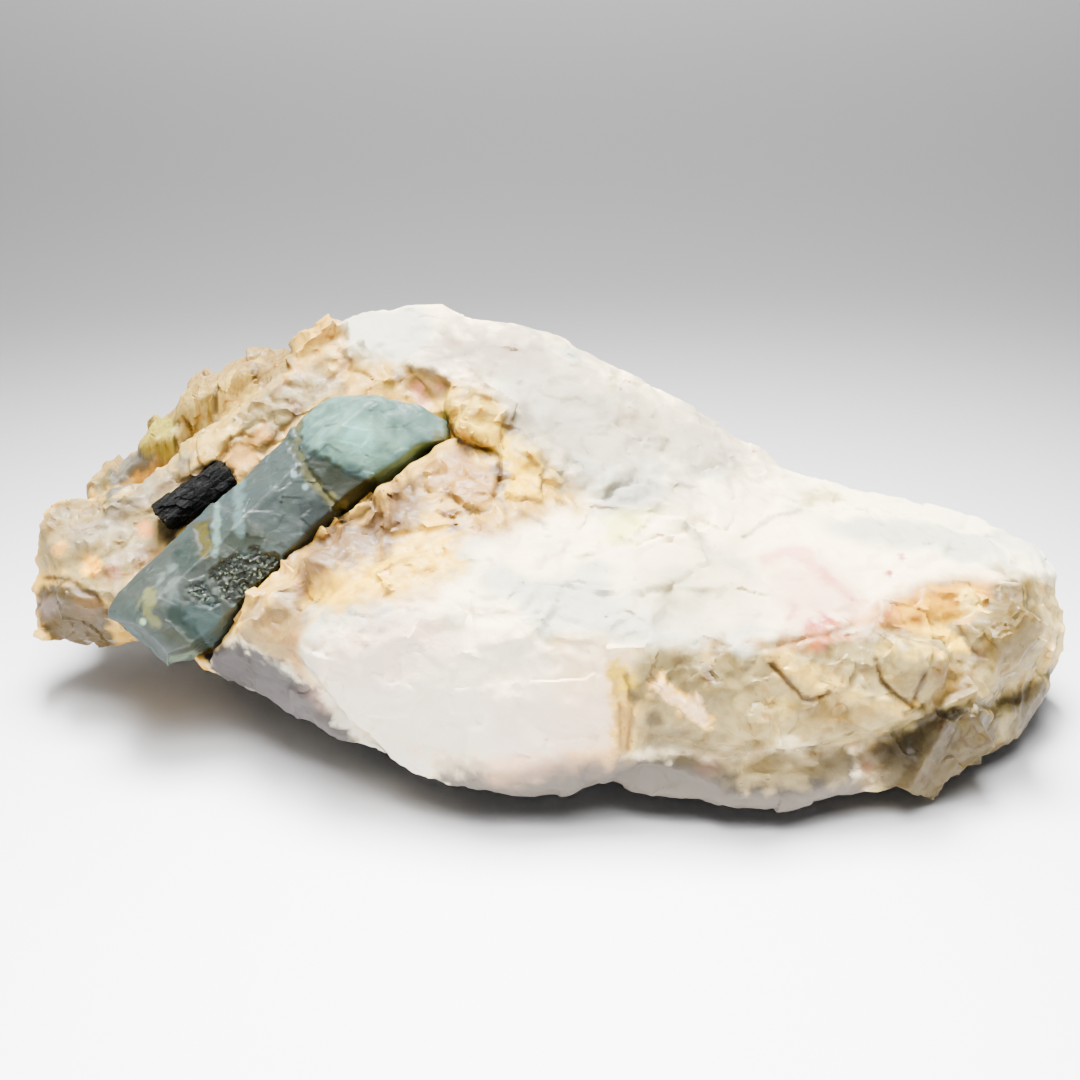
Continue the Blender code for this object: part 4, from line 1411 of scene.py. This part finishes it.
    def feldspar_break(self, points: Array, bent: Array) -> Array:
        """The relief of feldspar: blocks of several sizes with cleavage steps across them.

        Args:
            points: places, one row each.
            bent: the same, shifted so that the blocks come out irregular.

        Returns:
            How far each point is raised.
        """
        rise = 0.4 * fracture_cells(bent, (9.0, 6.5, 6.0), 21).height()
        rise += 0.4 * self.cleavage(bent, 13.0, 3.6, 24)
        rise += 0.1 * self.cleavage(bent, 7.0, 1.7, 25)
        rise += 0.1 * fracture_cells(bent, (3.2, 2.4, 2.4), 22).height()
        return rise + 0.12 * soft_noise(points, 1.6, 26, 2)

    def quartz_break(self, points: Array, bent: Array) -> Array:
        """The relief of quartz: broad shell-like faces, with ledges and smaller faces on them.

        Args:
            points: places, one row each.
            bent: the same, shifted so that the small faces come out irregular.

        Returns:
            How far each point is raised.
        """
        shell = fracture_cells(points, (17.0, 14.0, 10.0), 31)
        rise = 0.6 * shell.height() * smooth_step(0.0, 0.06, shell.border)
        rise += 0.3 * soft_noise(points, 11.0, 34, 3) + 0.1 * soft_noise(points, 1.3, 35, 2)
        rise += self.ledges(points, 15.0, 37, 0.3)
        rise += 0.34 * fracture_cells(bent, (8.0, 6.0, 5.0), 32).height()
        return rise + 0.1 * fracture_cells(bent, (3.0, 2.4, 2.2), 33).height()

    @staticmethod
    def blade_break(points: Array) -> Array:
        """The relief of the upright blades: steps and fine ribs that run up them.

        Args:
            points: places, one row each.

        Returns:
            How far each point is raised.
        """
        ribs = 0.3 * soft_noise(points * np.array((1.0, 1.0, 0.08)), 1.5, 36, 2)
        upright = points * np.array((1.0, 1.0, 0.1))
        return ribs + 1.1 * fracture_cells(upright, (6.0, 9.0, 6.0), 39).height()

    @staticmethod
    def bend(points: Array) -> Array:
        """A shift from -1 to 1 on each axis, which makes straight cells irregular."""
        return np.stack([soft_noise(points, 5.0, 91 + axis, 2) for axis in range(3)], axis=1)

    @staticmethod
    def cleavage(points: Array, block: float, spacing: float, seed: int) -> Array:
        """Flat parallel steps, which run another way in each block of the feldspar.

        Args:
            points: places, one row each.
            block: how large the blocks are.
            spacing: how far apart the steps lie.
            seed: another seed gives other blocks.

        Returns:
            How far each point is raised, from -1 to 0.
        """
        random = fracture_cells(points, block, seed).random
        ways = np.array(((0.78, 0.20, 0.59), (-0.45, 0.83, 0.33), (-0.42, -0.52, 0.74)))
        way = ways[np.minimum((random[:, 0] * 3).astype(int), 2)] + 0.3 * (random[:, 1:4] - 0.5)
        place = np.einsum("ij,ij->i", points, way) / spacing + 5.0 * random[:, 4]
        share = place - np.floor(place)
        return smooth_step(0.8, 1.0, share) - share

    @staticmethod
    def ledges(points: Array, size: float, seed: int, height: float) -> Array:
        """Curved steps of shell-like fracture, that come and go over the surface.

        Args:
            points: places, one row each.
            size: how far apart the steps lie.
            seed: another seed gives other steps.
            height: how high a step is.

        Returns:
            How far each point is raised.
        """
        course = 2.6 * soft_noise(points, size, seed, 3)
        share = course - np.floor(course)
        sloped = smooth_step(0.86, 1.0, share) - share
        present = smooth_step(-0.15, 0.45, soft_noise(points, size * 1.4, seed + 50))
        return height * sloped * present

    def build(self, crystals: BVHTree) -> bpy.types.Object:
        """Makes the rock's fine skin and dresses it.

        Args:
            crystals: the crystals' faces, which the skin closes up to.

        Returns:
            The dressed rock.
        """
        piece = copy_node("matrix", "rock")
        tree = tree_of(piece)
        apply_modifier(piece, "REMESH", mode="VOXEL", voxel_size=self.first_skin * MM)
        apply_modifier(piece, "SMOOTH", factor=0.5, iterations=5)
        self.add_chips(piece)
        apply_modifier(piece, "REMESH", mode="VOXEL", voxel_size=self.skin * MM)
        self.break_up(piece, tree)
        apply_modifier(piece, "SMOOTH", factor=0.4, iterations=1)
        thin_out(piece, self.triangles)
        points = nudged(read_points(piece), ROCK_NUDGES)
        write_points(piece, self.settled(points, crystals))
        self.colour(piece, tree)
        select_only(piece)
        bpy.ops.object.shade_smooth_by_angle(angle=math.radians(38.0))
        dress(piece, self.finish.material(), "matrix")
        return piece

    def settled(self, points: Array, crystals: BVHTree) -> Array:
        """The corners, closed up to the crystals and none below the flat that it rests on."""
        moved = keep_off(points, crystals, self.crystal_gap, self.crystal_reach)
        moved[:, 2] = np.maximum(moved[:, 2], 0.0)
        return moved

    def colour(self, piece: bpy.types.Object, tree: BVHTree) -> None:
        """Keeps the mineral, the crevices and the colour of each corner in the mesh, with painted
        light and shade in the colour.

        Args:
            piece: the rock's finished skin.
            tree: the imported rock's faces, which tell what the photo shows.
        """
        points = read_points(piece)
        pixels = VIEW.pixels(points)
        shown = VIEW.seen(points, tree)
        wobble = soft_noise(points, 2.2, 9, 3)
        feldspar = self.feldspar_share(points, pixels)
        golden = self.golden_share(points)
        clouds = smooth_step(-0.5, 0.6, soft_noise(points, 16.0, 51, 3))[:, None]
        base = light_behind(WHITE) * (1.0 - clouds) + light_behind(COOL) * clouds
        edges = soft_noise(points, 7.0, 41, 3)
        for zone in FELDSPAR_ZONES:
            base += zone.share(pixels, edges)[:, None] * (light_behind(zone.colour) - base)
        hidden = (1.0 - shown) * smooth_step(0.15, 0.75, soft_noise(points, 18.0, 52, 3)) * 0.7
        base += hidden[:, None] * (light_behind(BEIGE) - base)
        tone = fracture_cells(points, 5.0, 21).random[:, 4:5]
        base *= 1.0 + feldspar[:, None] * (0.16 * tone - 0.10)
        base += golden[:, None] * (light_behind(GOLD) - base)
        wanted = paint(pixels, shown, wobble, base, ROCK_COLOURS)
        normals = soft_normals(piece, 40)
        under = (1.0 - shown) * smooth_step(0.1, 0.6, -normals[:, 2])
        wanted += under[:, None] * (light_behind(UNDERSIDE) - wanted)
        # Painted shade: hidden undersides near the floor turn dark grey, which also darkens the
        # floor's shadow under them.
        low = under * (1.0 - smooth_step(*self.painted_shade_heights, points[:, 2]))
        wanted += low[:, None] * (light_behind(PAINTED_SHADE_UNDERSIDE) - wanted)
        light = light_on(points, normals)
        # Painted light and shade: the stored tint is the wanted colour divided by the estimated
        # light.
        store(piece, "tint", colour_with_painted_light(wanted, light, shown))
        store(piece, "feldspar", feldspar)
        store(piece, "golden", golden)
        store(piece, "crevice", crevice_depth(piece, 10))


# The aquamarine.

CRYSTAL_COLOURS = (
    Patch((125, 133, 126), ((90, 680), (90, 590), (190, 520), (235, 487), (240, 540), (240, 640),
          (200, 680)), edge=2.0, through=True),
    Patch((125, 139, 136), ((235, 487), (290, 425), (305, 470), (346, 520), (330, 545), (290, 565),
          (215, 550), (212, 505)), edge=1.5, through=True),
    Patch((160, 183, 176), ((292, 425), (310, 405), (345, 380), (380, 380), (400, 400), (460, 405),
          (460, 450), (401, 479), (383, 484), (344, 467), (301, 442)), edge=0.8, through=True),
    Patch((199, 215, 208), ((318, 430), (345, 400), (378, 410), (404, 425), (392, 450), (350, 458),
          (326, 448)), edge=3.0, ragged=2.5, strength=0.7),
    Spot((206, 224, 220), (358, 438), 4.2, 0.7),
    # Painted shadow: a darker blue-green along the head's lower side, which the bank beside it
    # shades.
    Patch((128, 156, 150), ((372, 476), (401, 460), (448, 428), (457, 442), (401, 480)), edge=1.8,
          strength=0.8),
    Patch((178, 200, 196), ((345, 387), (372, 388), (372, 400), (340, 402)), edge=1.5,
          strength=0.5),
    Patch((160, 155, 115), ((436, 428), (455, 424), (459, 440), (446, 452), (432, 452)), edge=0.7,
          strength=0.8),
    # Painted shade: the prism face that turns downwards, along the head, in dark olive.
    Patch((92, 95, 71), ((301, 446), (344, 470), (383, 488), (401, 481), (365, 512), (346, 523),
          (325, 497), (308, 472)), edge=0.9, strength=0.9),
    Seam((150, 146, 102), ((297, 420), (293, 446), (305, 470), (325, 495), (346, 519)), 1.3, 0.6,
         0.85),
    Spot((186, 180, 138), (332, 496), 1.4, 0.8),
    Spot((180, 172, 128), (320, 486), 1.1, 0.8),
    Spot((178, 174, 136), (346, 506), 1.2, 0.7),
    Patch((119, 138, 138), ((276, 440), (292, 432), (300, 468), (292, 476), (272, 470)), edge=1.8,
          strength=0.6),
    Patch((127, 143, 140), ((240, 494), (262, 478), (294, 468), (296, 480), (262, 494), (246, 506)),
          edge=1.2, strength=0.7),
    Spot((200, 212, 212), (293, 474), 0.9, 0.8),
    Spot((200, 212, 212), (305, 487), 0.8, 0.8),
    # Painted shade: the same downward face further down the crystal, in dark blue-grey.
    Patch((66, 80, 81), ((300, 500), (325, 497), (346, 520), (333, 543), (300, 548)), edge=1.8,
          strength=0.7),
    Patch((113, 119, 100), ((205, 545), (240, 520), (285, 540), (250, 552), (215, 566)), edge=1.5,
          strength=0.7),
    Patch((67, 77, 61), ((206, 572), (222, 562), (252, 546), (288, 559), (296, 570), (291, 580),
          (257, 606), (240, 616), (231, 609), (214, 588)), edge=1.0, strength=0.92),
    Seam((184, 200, 194), ((217, 506), (216, 530), (215, 552)), 1.1, 0.2, 0.75),
    Seam((176, 194, 192), ((238, 482), (238, 505), (240, 532)), 1.6, 0.1, 0.6),
    Patch((155, 140, 72), ((193, 528), (207, 522), (213, 545), (211, 553), (200, 551)), edge=0.5,
          strength=0.9),
    Patch((90, 111, 103), ((174, 549), (191, 529), (195, 556), (199, 577), (180, 572)), edge=1.0,
          strength=0.8),
    Patch((178, 186, 182), ((160, 572), (170, 568), (176, 586), (180, 602), (166, 600)), edge=1.2,
          strength=0.8),
    Patch((61, 82, 74), ((182, 586), (205, 584), (222, 603), (210, 608), (190, 600)), edge=0.8,
          strength=0.8),
    Patch((112, 134, 131), ((175, 600), (191, 600), (222, 607), (229, 627), (213, 645), (195, 638),
          (177, 616)), edge=0.8, strength=0.9),
    Seam((78, 102, 92), ((172, 612), (190, 632), (208, 650)), 1.8, 0.3, 0.85),
    Patch((119, 122, 96), ((160, 625), (180, 634), (207, 652), (190, 655), (165, 640)), edge=1.4,
          strength=0.7),
    Patch((187, 185, 149), ((140, 600), (150, 592), (154, 612), (158, 626), (145, 622)), edge=0.8,
          strength=0.8),
    Spot((216, 224, 212), (141, 622), 1.0, 0.9),
    Spot((172, 192, 190), (127, 634), 2.2, 0.6),
    Patch((138, 153, 150), ((107, 622), (128, 600), (140, 630), (170, 650), (170, 665), (125, 652)),
          edge=1.6, strength=0.7),
    Seam((190, 198, 184), ((172, 660), (190, 655), (212, 662)), 1.1, 0.4, 0.7),
    Spot((20, 22, 24), (247, 534), 0.55, 0.95),
    Spot((24, 26, 28), (281, 502), 0.4, 0.9),
)

CRYSTAL_FLAKES = (
    Flake(((206, 572), (222, 562), (252, 546), (288, 559), (291, 580), (257, 606), (231, 609),
          (214, 588)), -0.5, 0.5),
    Flake(((182, 586), (205, 584), (222, 603), (210, 608), (190, 600)), -0.3, 0.4),
    Flake(((301, 446), (344, 470), (383, 488), (401, 481), (365, 512), (346, 523), (308, 472)),
          -0.35, 0.6),
    Flake(((193, 528), (207, 522), (213, 545), (200, 551)), -0.25, 0.3),
    Flake(((175, 600), (191, 600), (222, 607), (229, 627), (213, 645), (177, 616)), 0.12, 0.4),
)


CRYSTAL_NUDGES = (
    Nudge((444, 408), (444, 421), 20.0),
    Nudge((400, 390), (397, 402), 22.0),
    Nudge((438, 432), (457, 442), 18.0),
    Nudge((405, 470), (412, 471), 16.0),
    Nudge((120, 600), (108, 611), 20.0),
    Nudge((124, 640), (119, 643), 16.0),
    Nudge((188, 671), (176, 664), 18.0),
    Nudge((214, 662), (212, 654), 14.0),
)


@dataclass(frozen=True)
class AquamarineFinish:
    """How the aquamarine's surface looks close up."""

    roughness: float = 0.34
    axis_turn: tuple[float, float, float] = (0.0, -0.5, 0.62)
    milk_colour: Colour = (178, 190, 184)
    # Painted sparkle: a pale colour on the brightest grains of the broken patches.
    painted_sparkle_colour: Colour = (198, 204, 186)
    # Painted shade for the crevices.
    crevice_shade_colour: Colour = (66, 74, 58)

    def material(self) -> bpy.types.Material:
        """Cloudy blue-green beryl with waxy faces, from the colours in the mesh, with painted
        sparkle on its broken patches and painted shade in its crevices.
        """
        graph = Graph("aquamarine")
        tint = graph.attribute("tint", colour=True)
        broken = graph.attribute("broken")
        crevice = graph.attribute("crevice")
        along = graph.stretched(self.axis_turn, (8.0, 1.0, 1.0))
        streak = graph.noise(1.3, 3.0, along)
        cloud = graph.noise(3.4, 4.0)
        fine = graph.noise(0.35, 2.0)
        spark = graph.grains(0.42, "F1", "Color")
        level = graph.node("ShaderNodeSeparateColor", {}, {"Color": spark}, 0)
        value = 0.80 + cloud * 0.26 + (streak - 0.5) * 0.34 + fine * 0.06
        value = value + (level - 0.5) * broken * 0.7
        colour = graph.brightened(tint, value)
        milk = graph.noise(1.9, 4.0, graph.warped(4.0, 3.0)).ramp(0.55, 0.78)
        colour = graph.mix(milk * 0.3, colour, self.milk_colour)
        # Painted sparkle on the broken patches.
        colour = graph.mix(level.ramp(0.9, 0.96) * broken * 0.8, colour, self.painted_sparkle_colour)
        # Painted shade: the deeper a crevice, the darker.
        colour = graph.mix(crevice.ramp(0.1, 0.5) * 0.5, colour, self.crevice_shade_colour)
        roughness = self.roughness + fine * 0.16 + broken * 0.1
        relief = fine * 0.3 + streak * 0.5 + level * broken * 1.6 + milk * 0.25
        return graph.finish({
            "Base Color": colour,
            "Roughness": roughness,
            "Normal": graph.bump(relief, 0.22, 0.5),
            "IOR": 1.575,
            "Specular IOR Level": 0.14,
            "Transmission Weight": 0.08,
            "Subsurface Weight": 0.2,
            "Subsurface Radius": (0.7, 1.0, 1.0),
            "Subsurface Scale": 1.2 * MM,
            "Coat Roughness": 0.2,
        })


@dataclass
class Aquamarine:
    """The blue-green six-sided crystal, in three lengths that healed together."""

    skin: float = 0.3
    worn: int = 16
    hidden_colour: Colour = (122, 148, 148)
    finish: AquamarineFinish = field(default_factory=AquamarineFinish)

    def build(self) -> bpy.types.Object:
        """Makes the crystal's fine skin, dresses it and returns it."""
        piece = copy_node("aquamarine_crystal", "aquamarine")
        tree = tree_of(piece)
        apply_modifier(piece, "REMESH", mode="VOXEL", voxel_size=self.skin * MM)
        apply_modifier(piece, "SMOOTH", factor=0.5, iterations=self.worn)
        shown = VIEW.seen(read_points(piece), tree)
        points = nudged(read_points(piece), CRYSTAL_NUDGES)
        write_points(piece, points)
        pixels = VIEW.pixels(points)
        wobble = soft_noise(points, 1.8, 71, 2)
        broken = self.broken_share(pixels, shown, wobble)
        rise = 0.16 * soft_noise(points, 4.5, 72, 3) - 0.16
        rise += 0.12 * fracture_cells(points, (5.0, 3.4, 3.4), 73).height()
        rise += broken * 0.32 * fracture_cells(points, 0.9, 74).height()
        for flake in CRYSTAL_FLAKES:
            rise += flake.lift(pixels, wobble) * shown
        for layer in CRYSTAL_COLOURS:
            if isinstance(layer, Seam) and layer.depth > 0.0:
                rise -= layer.depth * layer.share(pixels, wobble) * shown
        write_points(piece, points + read_normals(piece) * np.minimum(rise, 0.1)[:, None])
        select_only(piece)
        bpy.ops.object.shade_smooth_by_angle(angle=math.radians(30.0))
        base = np.tile(light_behind(self.hidden_colour), (len(points), 1))
        wanted = paint(pixels, shown, wobble, base, CRYSTAL_COLOURS)
        light = light_on(read_points(piece), soft_normals(piece, 30))
        # Painted light and shade: the stored tint is the wanted colour divided by the estimated
        # light.
        store(piece, "tint", colour_with_painted_light(wanted, light, shown))
        store(piece, "broken", broken)
        store(piece, "crevice", crevice_depth(piece, 6))
        dress(piece, self.finish.material(), "aquamarine_crystal")
        return piece

    @staticmethod
    def broken_share(pixels: Array, shown: Array, wobble: Array) -> Array:
        """Finds where the crystal's face is broken to a granular, sparkling surface.

        Args:
            pixels: the photo's pixel for each corner.
            shown: 1 where the photo shows the corner.
            wobble: noise that makes the edge ragged.

        Returns:
            1 where it is broken and 0 elsewhere.
        """
        share = np.zeros(len(pixels))
        for flake in CRYSTAL_FLAKES[:2]:
            depth = depth_inside(pixels, flake.outline) + wobble
            share = np.maximum(share, smooth_step(-1.0, 1.0, depth) * shown)
        return share


# The tourmaline.


@dataclass(frozen=True)
class TourmalineFinish:
    """How the tourmaline's surface looks close up."""

    axis_turn: tuple[float, float, float] = (0.0, -0.4, 0.52)
    dark: Colour = (20, 20, 21)
    # Painted highlights on the ribs, and painted glints.
    painted_rib_highlight: Colour = (58, 60, 58)
    painted_glint_colour: Colour = (130, 130, 120)
    rim_colour: Colour = (74, 64, 42)
    # Painted shade for the crevices.
    crevice_shade_colour: Colour = (10, 10, 11)

    def material(self) -> bpy.types.Material:
        """Black, finely ribbed tourmaline with a brown rim, painted highlights on its ribs, painted
        glints and painted shade in its crevices.
        """
        graph = Graph("tourmaline")
        crevice = graph.attribute("crevice")
        rim = graph.attribute("rim")
        along = graph.stretched(self.axis_turn, (7.0, 1.0, 1.0))
        rib = graph.noise(0.5, 3.0, along)
        fine = graph.noise(0.3, 3.0)
        # Painted highlights on the ribs and painted glints over the black.
        colour = graph.mix(rib.ramp(0.42, 0.7), self.dark, self.painted_rib_highlight)
        colour = graph.mix(fine.ramp(0.64, 0.74) * 0.5, colour, self.painted_glint_colour)
        colour = graph.mix(rim * 0.7, colour, self.rim_colour)
        # Painted shade: the deeper a crevice, the darker.
        colour = graph.mix(crevice.ramp(0.05, 0.4) * 0.6, colour, self.crevice_shade_colour)
        return graph.finish({
            "Base Color": colour,
            "Roughness": 0.34 + fine * 0.2,
            "Normal": graph.bump(rib + fine * 0.8, 0.3, 0.7),
            "IOR": 1.64,
            "Specular IOR Level": 0.02,
        })


@dataclass
class Tourmaline:
    """The short black crystal against the aquamarine's upper-left side."""

    skin: float = 0.2
    finish: TourmalineFinish = field(default_factory=TourmalineFinish)

    def build(self) -> bpy.types.Object:
        """Makes the crystal's fine skin, dresses it and returns it."""
        piece = copy_node("tourmaline_crystal", "tourmaline")
        apply_modifier(piece, "REMESH", mode="VOXEL", voxel_size=self.skin * MM)
        apply_modifier(piece, "SMOOTH", factor=0.5, iterations=3)
        points = read_points(piece)
        low, high = np.array(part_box("tourmaline_crystal")) / MM
        axis = (high - low) / np.linalg.norm(high - low)
        place = points @ axis
        across = points - place[:, None] * axis
        ribs = soft_noise(across + 0.12 * place[:, None] * axis, 0.8, 81, 2)
        steps = fracture_cells(points, (2.6, 1.5, 1.5), 82).height()
        rise = 0.22 * ribs + 0.3 * steps - 0.25
        write_points(piece, points + read_normals(piece) * np.minimum(rise, 0.1)[:, None])
        middle = (place.min() + place.max()) / 2.0
        half = (place.max() - place.min()) / 2.0
        outward = np.abs(place - middle) / half + 0.1 * soft_noise(points, 1.2, 83)
        rim = smooth_step(0.72, 1.0, outward)
        store(piece, "rim", rim)
        store(piece, "crevice", crevice_depth(piece, 5))
        select_only(piece)
        bpy.ops.object.shade_smooth_by_angle(angle=math.radians(32.0))
        dress(piece, self.finish.material(), "tourmaline_crystal")
        return piece


# The studio.


@dataclass
class Studio:
    """The plain pale floor, the soft lights and the camera."""

    floor_side: float = 6.0
    floor_colour: Colour = (212, 212, 214)
    sky: float = 0.16

    def build(self) -> None:
        """Sets up everything round the specimen."""
        self.lay_floor()
        for number, lamp in enumerate(LAMPS):
            self.hang(f"lamp_{number + 1}", lamp)
        self.fill_light()
        self.place_camera()

    def lay_floor(self) -> None:
        """A wide pale floor under the specimen."""
        bpy.ops.mesh.primitive_plane_add(size=self.floor_side, location=(0.0, 0.0, 0.0))
        floor = bpy.context.active_object
        floor.name = "floor"
        graph = Graph("floor")
        colour = (*linear(self.floor_colour), 1.0)
        floor.data.materials.append(graph.finish({"Base Color": colour, "Roughness": 0.8}))

    def hang(self, name: str, lamp: Lamp) -> None:
        """Hangs one lamp, turned to the specimen."""
        light = bpy.data.lights.new(name, "AREA")
        light.shape = "SQUARE"
        light.size = lamp.side
        light.spread = math.radians(lamp.beam)
        light.energy = lamp.power
        hung = bpy.data.objects.new(name, light)
        hung.location = lamp.place
        sight = Vector(lamp.aim) - Vector(lamp.place)
        hung.rotation_euler = sight.to_track_quat("-Z", "Y").to_euler()
        bpy.context.scene.collection.objects.link(hung)

    def fill_light(self) -> None:
        """An even pale light from all round."""
        world = bpy.data.worlds.new("fill")
        world.use_nodes = True
        background = world.node_tree.nodes["Background"]
        background.inputs["Color"].default_value = (0.96, 0.97, 1.0, 1.0)
        background.inputs["Strength"].default_value = self.sky
        bpy.context.scene.world = world

    def place_camera(self) -> None:
        """The camera that sees what the photo shows."""
        data = bpy.data.cameras.new("camera")
        data.lens = VIEW.lens
        data.sensor_width = VIEW.sensor
        data.clip_start = 0.01
        data.clip_end = 50.0
        camera = bpy.data.objects.new("camera", data)
        camera.location = Vector(VIEW.eye()) * MM
        camera.rotation_euler = Vector(VIEW.forward()).to_track_quat("-Z", "Y").to_euler()
        bpy.context.scene.collection.objects.link(camera)
        bpy.context.scene.camera = camera


def report(piece: bpy.types.Object) -> None:
    """Logs a piece's size and number of triangles."""
    triangles = sum(len(face.vertices) - 2 for face in piece.data.polygons)
    size = " x ".join(f"{side / MM:.1f}" for side in piece.dimensions)
    LOG.info("%s: %d triangles, %s mm", piece.name, triangles, size)


def main() -> None:
    """Builds every piece in order."""
    logging.basicConfig(level=logging.INFO, format="%(message)s")
    aquamarine = Aquamarine().build()
    report(aquamarine)
    tourmaline = Tourmaline().build()
    report(tourmaline)
    report(Rock().build(tree_of(aquamarine, tourmaline)))
    Studio().build()


if __name__ == "__main__":
    main()
